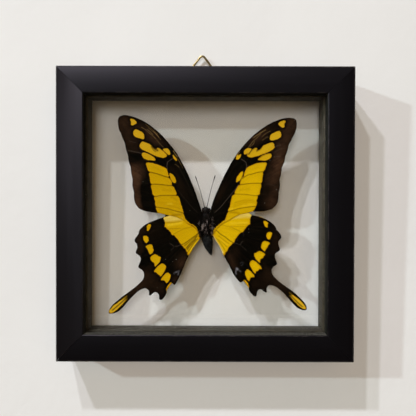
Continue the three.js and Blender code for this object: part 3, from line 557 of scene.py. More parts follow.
# Veins: how dark the vein is where it crosses yellow, its half width there, and its line.
VEINS = {
    "forewing_left": [
        (0.0, 0.30, [(-2.2, 1.6), (-5.4, 8.4), (-8.6, 15.0), (-11.7, 20.9), (-13.9, 24.6), (-15.6, 27.0), (-19.5, 31.8), (-24.5, 36.4), (-29.6, 40.4), (-34.6, 43.4)]),
        (0.0, 0.22, [(-16.6, 28.4), (-21.5, 32.6), (-26.5, 36.4), (-30.2, 38.7), (-34.6, 39.5), (-38.6, 39.2)]),
        (0.0, 0.20, [(-9.5, 16.8), (-13.9, 24.0), (-18.6, 30.6), (-23.4, 35.7), (-27.8, 39.6), (-31.0, 41.9)]),
        (0.0, 0.20, [(-7.2, 12.3), (-11.3, 20.6), (-15.3, 27.3), (-20.3, 33.5), (-24.4, 37.7)]),
        (0.5, 0.18, [(-15.2, 24.9), (-17.2, 26.6), (-19.4, 28.9), (-22.5, 31.3), (-26.0, 33.0), (-29.5, 33.6), (-33.0, 33.2), (-36.6, 32.6)]),
        (0.6, 0.18, [(-17.0, 23.2), (-19.6, 24.6), (-22.6, 25.5), (-25.2, 27.0), (-27.4, 27.8), (-29.6, 27.6), (-32.0, 27.8), (-35.0, 28.5)]),
        (0.0, 0.18, [(-17.2, 21.5), (-20.0, 22.9), (-24.0, 23.6), (-27.0, 23.6), (-31.0, 23.4), (-34.2, 23.1)]),
        (1.0, 0.22, [(-16.4, 16.3), (-16.9, 16.5), (-18.0, 16.8), (-19.2, 17.2), (-21.0, 17.8), (-22.8, 18.3), (-25.2, 18.8), (-29.0, 19.3), (-33.2, 19.2)]),
        (1.0, 0.20, [(-14.7, 12.6), (-15.5, 12.75), (-17.4, 12.9), (-20.0, 13.2), (-22.0, 13.36), (-24.6, 13.3), (-28.5, 13.1), (-32.6, 13.0)]),
        (0.9, 0.20, [(-11.0, 8.9), (-12.8, 8.4), (-15.0, 8.36), (-17.0, 8.36), (-20.0, 8.3), (-21.6, 8.0), (-23.1, 7.9), (-27.5, 7.7), (-31.9, 7.9)]),
        (0.8, 0.22, [(-2.6, -2.6), (-6.0, -0.9), (-9.8, 0.4), (-11.0, 0.8), (-13.0, 1.3), (-15.0, 1.8), (-17.0, 2.4), (-19.2, 2.7), (-21.6, 3.0), (-26.0, 3.2), (-30.1, 3.0)]),
        (0.0, 0.26, [(-2.4, -0.8), (-3.7, 0.7), (-6.1, 3.2), (-9.6, 7.3), (-12.6, 10.8), (-14.7, 12.7), (-16.2, 15.6), (-16.9, 18.2), (-17.05, 19.8)]),
        (0.0, 0.22, [(-17.05, 19.8), (-17.25, 21.5), (-16.95, 23.2), (-16.0, 24.0), (-14.8, 24.8)]),
    ],
    "hindwing_left": [
        (0.0, 0.22, [(-1.5, -4.6), (-6.0, -2.6), (-12.0, -1.2), (-18.0, -2.2), (-23.0, -4.4), (-27.5, -6.6), (-29.6, -7.8)]),
        (0.35, 0.2, [(-1.6, -5.2), (-5.5, -5.6), (-9.8, -6.7), (-11.4, -7.5), (-12.8, -8.2), (-14.1, -9.05), (-16.2, -10.9), (-16.7, -12.2), (-15.9, -13.4), (-14.6, -14.3), (-13.9, -14.7)]),
        (0.2, 0.2, [(-8.0, -6.0), (-13.0, -6.5), (-18.3, -6.4), (-22.5, -7.6), (-26.3, -8.8), (-29.9, -8.8)]),
        (0.0, 0.2, [(-16.6, -11.4), (-21.5, -12.8), (-26.3, -13.6), (-29.2, -12.9), (-31.6, -12.1)]),
        (0.0, 0.2, [(-16.1, -13.0), (-20.0, -15.8), (-24.7, -18.7), (-28.0, -18.4), (-31.1, -17.6)]),
        (0.0, 0.2, [(-13.9, -14.7), (-14.6, -15.6), (-15.4, -16.3), (-18.5, -20.0), (-21.9, -23.1), (-26.0, -24.4), (-30.0, -23.9)]),
        (0.0, 0.24, [(-12.6, -14.5), (-14.5, -19.5), (-17.8, -25.6), (-20.3, -28.9), (-24.5, -31.0), (-29.0, -33.0), (-33.0, -36.0), (-37.6, -39.7), (-42.4, -44.0)]),
        (0.0, 0.2, [(-9.8, -13.5), (-11.4, -19.5), (-13.6, -26.5), (-16.6, -31.6), (-21.0, -34.6), (-25.0, -36.4)]),
        (0.9, 0.24, [(-2.4, -8.2), (-4.2, -9.5), (-6.0, -10.8), (-7.8, -12.2), (-9.8, -13.5), (-11.0, -13.9), (-12.5, -14.45), (-13.9, -14.7)]),
        (0.0, 0.2, [(-3.0, -10.4), (-6.4, -16.3), (-9.0, -21.8), (-12.0, -28.0), (-15.6, -33.2), (-20.1, -38.3)]),
    ],
}
VEINS["forewing_right"] = [(s, w, FORE_TO_RIGHT(p)) for s, w, p in VEINS["forewing_left"][:7]] + [
    (0.9, 0.20, [(16.7, 16.0), (17.3, 16.6), (17.8, 16.9), (19.2, 17.6), (20.8, 18.0), (23.2, 18.7), (24.6, 19.0), (26.3, 19.1), (30.0, 19.6), (34.0, 19.2)]),
    (0.9, 0.20, [(15.0, 13.1), (15.6, 13.2), (17.6, 13.5), (20.0, 13.8), (22.0, 13.9), (25.0, 13.9), (29.0, 13.8), (33.3, 13.2)]),
    (0.7, 0.20, [(11.9, 9.4), (13.4, 9.1), (16.0, 9.0), (18.0, 8.9), (20.0, 8.6), (22.0, 8.4), (24.0, 8.4), (28.0, 8.5), (32.7, 8.3)]),
    (0.8, 0.22, [(3.2, -2.4), (6.6, -0.4), (10.4, 1.2), (12.0, 1.6), (14.0, 2.2), (15.6, 2.6), (18.0, 3.0), (20.8, 3.4), (22.8, 3.5), (27.0, 3.6), (30.9, 3.3)]),
    (0.0, 0.26, [(3.0, -0.8), (4.3, 0.7), (6.7, 3.0), (10.0, 7.0), (13.3, 11.0), (15.0, 13.2), (16.8, 16.2), (17.8, 18.8), (18.2, 20.0)]),
    (0.0, 0.22, [(18.2, 20.0), (18.5, 21.4), (18.1, 23.2), (17.0, 24.1), (16.0, 24.7)]),
]
VEINS["hindwing_right"] = [(s, w, HIND_TO_RIGHT(p)) for s, w, p in VEINS["hindwing_left"][:8]] + [
    (0.9, 0.22, [(3.2, -6.6), (5.3, -7.6), (6.7, -8.9), (9.1, -10.4), (10.5, -11.6), (12.0, -12.5), (13.0, -13.0), (14.3, -13.3), (15.7, -13.8)]),
    (0.0, 0.2, HIND_TO_RIGHT(VEINS["hindwing_left"][9][2])),
]

# Other lines: kind, half width, strength, line. fold lines darken the yellow: painted shade in the
# creases and along the forewing's edge over the hindwing. light pales it, partly a painted highlight
# on fold ridges and partly the paler yellow by the crescent. cream is a painted highlight along the
# right hindwing's inner margin. dark is real dark marks, and painted shade along the hindwing's
# inner-margin pleats. grey and streak are thin marks on the black, white is the bluish-white dusting
# of the anal corner.
LINES = {
    "forewing_left": [
        ("fold_shade", 0.45, 0.22, [(-22.2, 5.6), (-20.0, 5.1), (-17.0, 4.8), (-14.0, 4.8), (-11.2, 4.2)]),
        ("fold_shade", 0.50, 0.28, [(-16.0, 7.8), (-14.0, 6.8), (-12.0, 5.6)]),
        ("fold_shade", 0.35, 0.30, [(-17.6, 4.0), (-15.0, 3.4), (-12.6, 2.8), (-10.6, 2.0)]),
        ("fold_shade", 0.35, 0.16, [(-20.6, 3.9), (-17.5, 3.6), (-14.6, 2.6)]),
        ("fold_shade", 0.55, 0.62, [(-15.6, -0.75), (-13.4, -0.50), (-11.6, -0.25), (-10.1, 0.0)]),
        ("fold_shade", 0.60, 0.22, [(-20.0, 10.8), (-17.5, 10.6), (-14.8, 10.2)]),
        ("dark", 0.46, 1.00, [(-23.9, 30.1), (-22.8, 29.2), (-21.5, 28.5)]),
        ("dark", 0.20, 0.80, [(-24.4, 30.4), (-23.6, 28.9), (-22.4, 28.0)]),
        ("fold_shade", 0.60, 0.16, [(-24.5, 20.9), (-21.5, 20.3), (-18.6, 18.9)]),
        ("light", 0.45, 0.35, [(-17.5, 4.4), (-15.8, 4.6), (-14.4, 4.3)]),
        ("light", 0.50, 0.25, [(-14.5, 0.6), (-12.2, 0.2), (-10.6, 0.1)]),
        ("grey", 0.12, 0.46, [(-17.0, 19.6), (-17.25, 21.5), (-16.95, 23.2), (-16.0, 24.0), (-14.8, 24.8)]),
        ("grey", 0.13, 0.40, [(-35.0, 28.5), (-33.4, 28.2), (-32.0, 27.8), (-30.4, 27.6), (-29.0, 27.2)]),
        ("grey", 0.11, 0.20, [(-34.3, 32.8), (-32.8, 32.3), (-31.3, 32.0)]),
        ("grey", 0.14, 0.09, [(-3.7, 0.7), (-6.1, 3.2), (-9.6, 7.3), (-12.6, 10.8)]),
        ("grey", 0.14, 0.08, [(-5.4, 8.4), (-8.6, 15.0), (-11.7, 20.9)]),
        ("streak", 0.09, 0.65, [(-23.5, 37.2), (-22.0, 35.7), (-20.3, 33.5)]),
        ("streak", 0.11, 0.35, [(-28.7, 38.8), (-27.0, 37.8), (-25.3, 36.3), (-23.3, 34.7), (-22.3, 33.7)]),
        ("streak", 0.13, 0.20, [(-22.0, 33.3), (-20.2, 31.2), (-18.7, 29.7)]),
        ("streak", 0.11, 0.65, [(-14.3, 28.1), (-13.5, 26.8), (-12.6, 25.6)]),
        ("streak", 0.13, 0.22, [(-13.6, 22.3), (-12.5, 21.6), (-11.8, 21.0)]),
        ("streak", 0.10, 0.40, [(-26.2, 37.9), (-24.9, 36.9), (-23.6, 35.6)]),
        ("streak", 0.09, 0.35, [(-25.6, 38.6), (-23.4, 36.9), (-21.4, 34.9)]),
        ("streak", 0.09, 0.30, [(-12.4, 24.6), (-11.3, 22.8), (-10.2, 20.7)]),
        ("streak", 0.10, 0.20, [(-27.0, 40.2), (-24.2, 38.2), (-21.6, 35.9)]),
    ],
    "hindwing_left": [
        ("fold_shade", 0.45, 0.50, [(-17.9, -4.0), (-16.0, -3.95), (-14.3, -3.85), (-12.5, -3.6), (-10.3, -3.2)]),
        ("fold_shade", 0.50, 0.18, [(-17.0, -7.2), (-14.0, -6.6), (-10.5, -6.2)]),
        ("dark", 0.24, 0.95, [(-3.7, -9.9), (-5.3, -11.8), (-6.7, -13.1), (-7.8, -14.5), (-8.5, -15.4)]),
        ("dark", 0.22, 0.95, [(-4.2, -11.3), (-6.0, -13.3), (-7.4, -14.9), (-8.0, -16.0)]),
        ("dark", 0.18, 0.80, [(-3.3, -11.0), (-5.0, -13.0), (-6.6, -15.4), (-7.6, -16.8)]),
        ("dark", 0.18, 0.80, [(-3.6, -9.2), (-5.6, -11.2), (-7.6, -13.0), (-9.2, -14.2)]),
        ("light", 0.22, 0.70, [(-2.7, -11.4), (-4.6, -13.7), (-6.2, -16.0), (-7.2, -17.4)]),
        ("light", 0.22, 0.35, [(-4.6, -10.6), (-6.5, -12.5), (-8.1, -14.0)]),
        ("light", 0.55, 0.55, [(-17.8, -5.2), (-15.0, -4.8), (-12.0, -4.3), (-9.6, -3.9)]),
        ("grey", 0.13, 0.30, [(-11.0, -13.85), (-12.5, -14.45), (-13.9, -14.7), (-14.6, -14.2), (-15.9, -13.3)]),
        ("grey", 0.16, 0.14, [(-13.9, -14.7), (-14.6, -15.6), (-15.4, -16.3)]),
        ("grey", 0.26, 0.10, [(-15.1, -16.0), (-15.3, -16.5)]),
        ("dark", 0.25, 1.00, [(-34.6, -37.1), (-36.0, -38.4), (-38.0, -40.2), (-40.6, -42.5), (-41.8, -43.5)]),
        ("dark", 0.15, 0.45, [(-35.4, -39.2), (-37.2, -41.0), (-39.2, -42.8)]),
        ("white", 0.26, 0.30, [(-13.9, -26.8), (-13.2, -26.2), (-12.2, -25.9), (-11.8, -25.7)]),
        ("white", 0.26, 0.26, [(-12.2, -26.1), (-12.05, -26.8), (-12.2, -27.4)]),
    ],
    "forewing_right": [
        ("dark", 0.24, 1.00, [(19.5, 26.9), (20.5, 28.5), (21.4, 29.9)]),
        ("dark", 0.20, 0.90, [(17.6, 19.4), (16.6, 16.8), (15.4, 14.4)]),
        ("dark", 0.50, 1.00, [(25.0, 30.4), (24.4, 29.4), (23.3, 28.8)]),
        ("dark", 0.22, 0.80, [(24.0, 30.6), (23.7, 29.4), (23.0, 28.2)]),
        ("fold_shade", 0.45, 0.30, [(23.2, 5.5), (20.0, 5.5), (17.0, 5.1), (14.0, 4.3), (12.0, 3.5)]),
        ("fold_shade", 0.40, 0.34, [(22.8, 6.2), (20.0, 6.2), (17.0, 6.0), (14.6, 5.5), (12.2, 4.6)]),
        ("fold_shade", 0.35, 0.26, [(19.4, 4.6), (16.0, 4.2), (13.0, 3.2), (11.4, 2.6)]),
        ("fold_shade", 0.50, 0.45, [(10.5, 0.6), (12.4, 0.75), (14.2, 0.55), (15.8, 0.0)]),
        ("fold_shade", 0.60, 0.20, [(20.5, 11.4), (17.6, 11.0), (14.8, 10.6)]),
        ("fold_shade", 0.60, 0.16, [(25.5, 21.0), (22.5, 20.6), (19.4, 19.0)]),
        ("light", 0.45, 0.35, [(10.6, 1.7), (11.6, 2.1), (12.8, 2.6)]),
        ("light", 0.50, 0.25, [(16.0, 3.7), (19.0, 4.1), (22.0, 4.3)]),
        ("grey", 0.12, 0.55, [(16.0, 24.7), (17.0, 24.1), (18.1, 23.2), (18.5, 21.4), (18.2, 20.0)]),
        ("grey", 0.11, 0.40, [(4.3, 0.7), (6.7, 3.0), (10.0, 7.0), (13.3, 11.0), (14.7, 13.0)]),
        ("grey", 0.16, 0.32, [(31.2, 30.2), (32.4, 30.8), (33.7, 31.0)]),
        ("grey", 0.16, 0.32, [(30.7, 25.7), (32.0, 25.9), (33.3, 26.0)]),
        ("grey", 0.20, 0.12, [(31.0, 28.0), (33.5, 29.2), (35.6, 29.6)]),
        ("grey", 0.18, 0.09, [(27.6, 13.6), (30.0, 13.2), (31.4, 12.4)]),
        ("streak", 0.10, 0.65, [(26.9, 37.8), (25.4, 36.9), (24.0, 36.0), (21.3, 34.2)]),
        ("streak", 0.09, 0.44, [(24.7, 36.0), (22.7, 34.0), (21.3, 32.7), (20.0, 31.0), (19.3, 30.0)]),
        ("streak", 0.11, 0.28, [(29.0, 37.3), (26.7, 36.0), (25.3, 34.7)]),
        ("streak", 0.10, 0.65, [(13.7, 25.9), (14.5, 27.0), (15.3, 28.0)]),
        ("streak", 0.10, 0.40, [(20.0, 30.3), (21.3, 31.3), (22.0, 32.7)]),
        ("streak", 0.17, 0.18, [(25.6, 33.2), (26.6, 34.0), (28.0, 34.8)]),
    ],
    "hindwing_right": [
        ("fold_shade", 0.30, 0.22, [(13.6, -4.8), (16.6, -4.75), (19.7, -4.7)]),
        ("dark", 0.18, 0.38, [(5.1, -11.1), (6.9, -12.2), (8.4, -13.5), (9.8, -14.7)]),
        ("dark", 0.18, 0.50, [(4.6, -10.6), (6.4, -12.6), (7.8, -14.6), (8.9, -16.4)]),
        ("fold_shade", 0.20, 0.60, [(4.3, -11.0), (6.0, -13.6), (7.2, -15.6), (8.2, -17.2)]),
        ("fold_shade", 0.24, 0.50, [(5.4, -9.4), (7.4, -10.9), (9.6, -12.6), (11.2, -13.6)]),
        ("fold_shade", 0.40, 0.16, [(8.6, -6.0), (12.0, -6.6), (15.6, -7.7)]),
        ("painted_cream_highlight", 0.24, 0.80, [(3.3, -9.7), (4.9, -12.2), (6.7, -15.1), (8.0, -17.4)]),
        ("light", 0.30, 0.35, [(6.6, -11.2), (8.6, -12.9), (10.4, -14.2)]),
        ("light", 0.55, 0.45, [(19.8, -3.9), (17.0, -4.0), (13.6, -4.1), (10.6, -4.3)]),
        ("grey", 0.14, 0.25, [(13.0, -13.0), (14.3, -13.3), (15.7, -13.8), (16.3, -12.7), (17.0, -12.2)]),
        ("grey", 0.16, 0.12, [(15.7, -13.8), (17.2, -15.1), (18.6, -16.5)]),
        ("grey", 0.26, 0.11, [(14.4, -11.2), (14.5, -12.0)]),
        ("grey", 0.26, 0.09, [(17.2, -8.6), (17.2, -9.8)]),
        ("dark", 0.24, 1.00, [(36.4, -34.8), (37.8, -35.8), (39.9, -37.9), (42.3, -40.3), (43.8, -41.6)]),
        ("dark", 0.15, 0.35, [(37.6, -37.2), (39.4, -39.0), (41.4, -41.0)]),
        ("white", 0.42, 0.85, [(14.2, -24.6), (14.6, -24.9)]),
        ("white", 0.24, 0.50, [(14.0, -25.2), (13.8, -26.0), (13.95, -27.0)]),
        ("white", 0.30, 0.21, [(15.4, -25.4), (16.0, -25.9)]),
        ("white", 0.22, 0.07, [(15.9, -22.2), (16.4, -21.7), (17.1, -22.0), (16.8, -22.9), (16.2, -23.2)]),
    ],
}

# Brown tints on the black: centre, radii, angle in degrees, amount. Negative ones are blacker.
BLOBS = {
    "forewing_left": [
        ((-31.2, 13.0), (3.2, 6.0), 8, 0.72), ((-30.4, 4.6), (2.6, 3.6), 0, 0.52), ((-31.6, 19.4), (3.4, 3.6), 0, 0.55),
        ((-27.6, 11.2), (1.9, 3.2), -8, -0.75), ((-27.0, 5.6), (2.4, 2.4), 0, -0.55), ((-31.9, 24.8), (2.4, 1.7), 0, -0.40),
        ((-33.2, 35.0), (4.8, 9.0), 20, 0.21), ((-36.0, 41.0), (4.0, 4.0), 0, 0.21), ((-24.0, 34.5), (6.0, 2.0), -40, 0.34),
        ((-12.6, 15.0), (1.6, 7.0), 25, 0.13), ((-17.5, 26.0), (3.0, 2.0), -40, -0.20),
    ],
    "hindwing_left": [
        ((-29.6, -14.0), (2.6, 7.0), 0, 0.20), ((-26.6, -28.6), (3.4, 4.4), -30, 0.22), ((-31.5, -34.0), (4.6, 2.2), 38, 0.22),
        ((-21.0, -32.8), (4.2, 3.6), 0, 0.17), ((-10.0, -20.6), (2.0, 3.4), -25, 0.26), ((-11.6, -22.6), (1.8, 2.2), -20, 0.20),
        ((-13.8, -29.6), (1.4, 2.0), -25, 0.20), ((-27.2, -19.2), (1.1, 1.9), 0, -0.35), ((-27.4, -21.8), (1.4, 1.4), 0, -0.25),
        ((-24.0, -8.0), (5.0, 5.0), 0, 0.04), ((-28.2, -6.6), (2.0, 1.8), 0, 0.07),
    ],
    "forewing_right": [
        ((33.2, 22.6), (2.6, 6.0), -14, 0.74), ((30.4, 9.0), (3.2, 8.0), 0, 0.41), ((27.8, 16.0), (2.0, 4.0), 0, 0.14),
        ((34.8, 33.0), (4.2, 8.0), -22, 0.36), ((38.0, 40.6), (3.4, 3.6), 0, 0.31), ((23.6, 34.6), (5.6, 2.2), 42, 0.36),
        ((6.8, 9.4), (1.4, 4.2), -25, 0.13), ((29.2, 4.0), (2.4, 2.0), 0, 0.17), ((28.8, 11.0), (1.6, 2.6), 0, -0.25),
    ],
    "hindwing_right": [
        ((31.6, -12.5), (2.4, 6.8), 0, 0.12), ((28.6, -26.6), (3.2, 4.2), 30, 0.14), ((34.2, -32.4), (4.6, 2.2), -38, 0.17),
        ((23.4, -31.4), (4.2, 3.6), 0, 0.11), ((11.4, -19.8), (1.2, 2.6), 25, 0.29), ((12.8, -23.0), (1.4, 3.0), 28, 0.18),
        ((15.4, -28.6), (1.4, 2.0), 25, 0.06), ((29.8, -21.6), (1.5, 1.8), 0, -0.30),
        ((26.4, -17.6), (3.0, 3.4), 0, 0.07), ((13.2, -17.0), (2.2, 2.6), 20, 0.09),
    ],
}

# where the yellow fades out rather than ending: centre, radius, width of the fade
SOFT = {
    "forewing_left": [((-22.6, 30.2), 1.3, 0.35), ((-20.6, 28.6), 1.0, 0.30)],
    "hindwing_left": [((-35.2, -37.3), 1.9, 1.10), ((-8.2, -17.6), 1.6, 0.30), ((-2.6, -7.0), 2.0, 0.40)],
    "forewing_right": [],
    "hindwing_right": [((37.0, -35.2), 1.9, 1.00), ((9.0, -16.8), 1.4, 0.25), ((3.4, -6.2), 1.6, 0.35)],
}
WING_T = {"forewing_left": 8.70, "forewing_right": 8.70, "hindwing_left": 9.08, "hindwing_right": 9.08}
# how light each wing's yellow is painted: the left pair darker and the right pair lighter, painted shade and light for
# how the lamps fall on the two sides
YELLOW_PAINTED_LIGHT = {"forewing_left": 0.0, "hindwing_left": 0.34, "forewing_right": 0.80, "hindwing_right": 1.0}
# where the hindwing's pale costal area ends, as x to height
CRESCENT = {
    "hindwing_left": ([-19.0, -16.0, -13.0, -10.5, -8.0, -5.0], [-3.7, -3.7, -3.4, -3.0, -2.9, -2.6]),
    "hindwing_right": ([6.0, 9.0, 12.0, 15.0, 18.0, 21.0], [-3.4, -3.0, -2.5, -2.2, -1.9, -1.9]),
}


def wing_material(name, upper):
    """Scales on both faces of a wing. The masks are the mesh's own attributes, in millimetres."""
    M = Mat(name)
    obj = M.coord("Object")
    fine = M.noise(obj, 5200.0, 2.0, 0.6)
    mid = M.noise(obj, 900.0, 3.0, 0.55)
    wide = M.noise(obj, 150.0, 3.0, 0.5)
    polar = M.attr("ray", "Fac")
    reach = M.attr("reach", "Fac")
    rays = M.noise(M.comb(polar, M.math("MULTIPLY", reach, 0.035), 0.0), 1.0, 3.0, 0.6)
    # ragged edge of the yellow scales
    sd = M.math("ADD", M.attr("yellow"), M.math("MULTIPLY", M.math("SUBTRACT", mid, 0.5), 0.34))
    sd = M.math("ADD", sd, M.math("MULTIPLY", M.math("SUBTRACT", fine, 0.5), 0.22))
    soft = M.math("ADD", M.attr("soft"), 0.11)
    yellow = M.rng(sd, M.math("MULTIPLY", soft, -1.0), soft)
    halo = M.rng(sd, 0.0, 0.75)
    # black ground
    brown = M.attr("brown")
    brown = M.math("ADD", brown, M.math("MULTIPLY", M.math("SUBTRACT", wide, 0.5), M.math("MULTIPLY", brown, 1.1)), clamp=True)
    brown = M.math("MULTIPLY", brown, M.rng(M.noise(obj, 420.0, 3.0, 0.6), 0.30, 0.70, 0.62, 1.34, smooth=False), clamp=True)
    ground = M.mix(brown, lin(4, 3, 0) if upper else lin(30, 23, 15), lin(74, 49, 32) if upper else lin(92, 66, 44))
    ground = M.mix(M.rng(rays, 0.50, 0.62, 0.0, 0.42), ground, lin(26, 16, 8) if upper else lin(70, 54, 38))
    ground = M.mix(M.rng(fine, 0.60, 0.85, 0.0, 0.18), ground, lin(38, 27, 14))
    ground = M.mix(M.math("MULTIPLY", M.attr("streak"), M.rng(mid, 0.25, 0.50)), ground, lin(178, 140, 84))
    ground = M.mix(M.math("MULTIPLY", M.attr("grey"), M.rng(mid, 0.25, 0.50)), ground, lin(104, 88, 76))
    ground = M.mix(M.math("MULTIPLY", M.attr("white"), M.rng(mid, 0.25, 0.50)), ground, lin(150, 146, 152))
    # yellow ground
    # painted shade and light: the level attribute makes each wing's yellow darker or lighter
    gold = M.mix(M.attr("painted_light_level"), lin(203, 158, 2), lin(232, 187, 3)) if upper else M.mix(wide, lin(216, 178, 74), lin(232, 196, 100))
    gold = M.mix(M.rng(wide, 0.35, 0.65, 0.0, 0.30), gold, lin(210, 164, 0) if upper else lin(222, 180, 70))
    gold = M.mix(M.math("MULTIPLY", M.rng(rays, 0.45, 0.70), 0.22), gold, lin(182, 128, 0))
    gold = M.mix(M.rng(fine, 0.55, 0.85, 0.0, 0.22), gold, lin(160, 112, 4))
    gold = M.mix(M.math("SUBTRACT", 1.0, halo), gold, lin(208, 152, 6))
    # painted shade: the fold lines darken the yellow in the creases and along the forewing's edge over the hindwing
    gold = M.mix(M.math("MULTIPLY", M.attr("fold_shade"), 0.85), gold, lin(132, 88, 0))
    gold = M.mix(M.math("MULTIPLY", M.attr("pale"), 0.92), gold, lin(232, 200, 88))
    # partly painted highlight: the light lines pale the yellow on fold ridges, and by the hindwing's crescent
    gold = M.mix(M.math("MULTIPLY", M.attr("light"), 0.80), gold, lin(252, 214, 44))
    # painted highlight: a cream line along the right hindwing's inner margin
    gold = M.mix(M.attr("painted_cream_highlight"), gold, lin(244, 222, 150))
    # the dark lines are real dark marks, and painted shade along the hindwing's inner-margin pleats
    gold = M.mix(M.math("MULTIPLY", M.attr("dark"), M.rng(mid, 0.12, 0.38)), gold, lin(58, 34, 6))
    vein = M.attr("vein")
    gold = M.mix(M.math("MULTIPLY", vein, M.rng(mid, 0.20, 0.50, 0.55, 1.0)), gold, lin(84, 56, 4))
    colour = M.mix(yellow, ground, gold)
    # a few light grains of dust, as on an old specimen
    dust = M.voronoi(obj, 420.0)
    dust = M.math("MULTIPLY", M.rng(dust, 0.055, 0.10, 1.0, 0.0), M.rng(M.noise(obj, 95.0, 1.0), 0.56, 0.64))
    colour = M.mix(M.math("MULTIPLY", dust, 0.45), colour, lin(178, 170, 160))
    # scales overlap in fine rows across the rays
    rows = M.n("ShaderNodeTexWave", wave_type="BANDS", bands_direction="Y", wave_profile="SIN")
    M.put(rows.inputs["Vector"], M.comb(polar, reach, 0.0))
    rows.inputs["Scale"].default_value = 1.6
    rows.inputs["Distortion"].default_value = 3.0
    rows.inputs["Detail"].default_value = 2.0
    height = M.math("ADD", M.math("MULTIPLY", fine, 0.6), M.math("MULTIPLY", rows.outputs["Fac"], 0.4))
    nrm = M.bump(height, 0.35, 0.00004)
    rough = M.rng(mid, 0.3, 0.7, 0.62, 0.78, smooth=False)
    b = M.surface(Base_Color=colour, Roughness=rough, Normal=nrm)
    b.inputs["Specular IOR Level"].default_value = 0.020
    return M.m


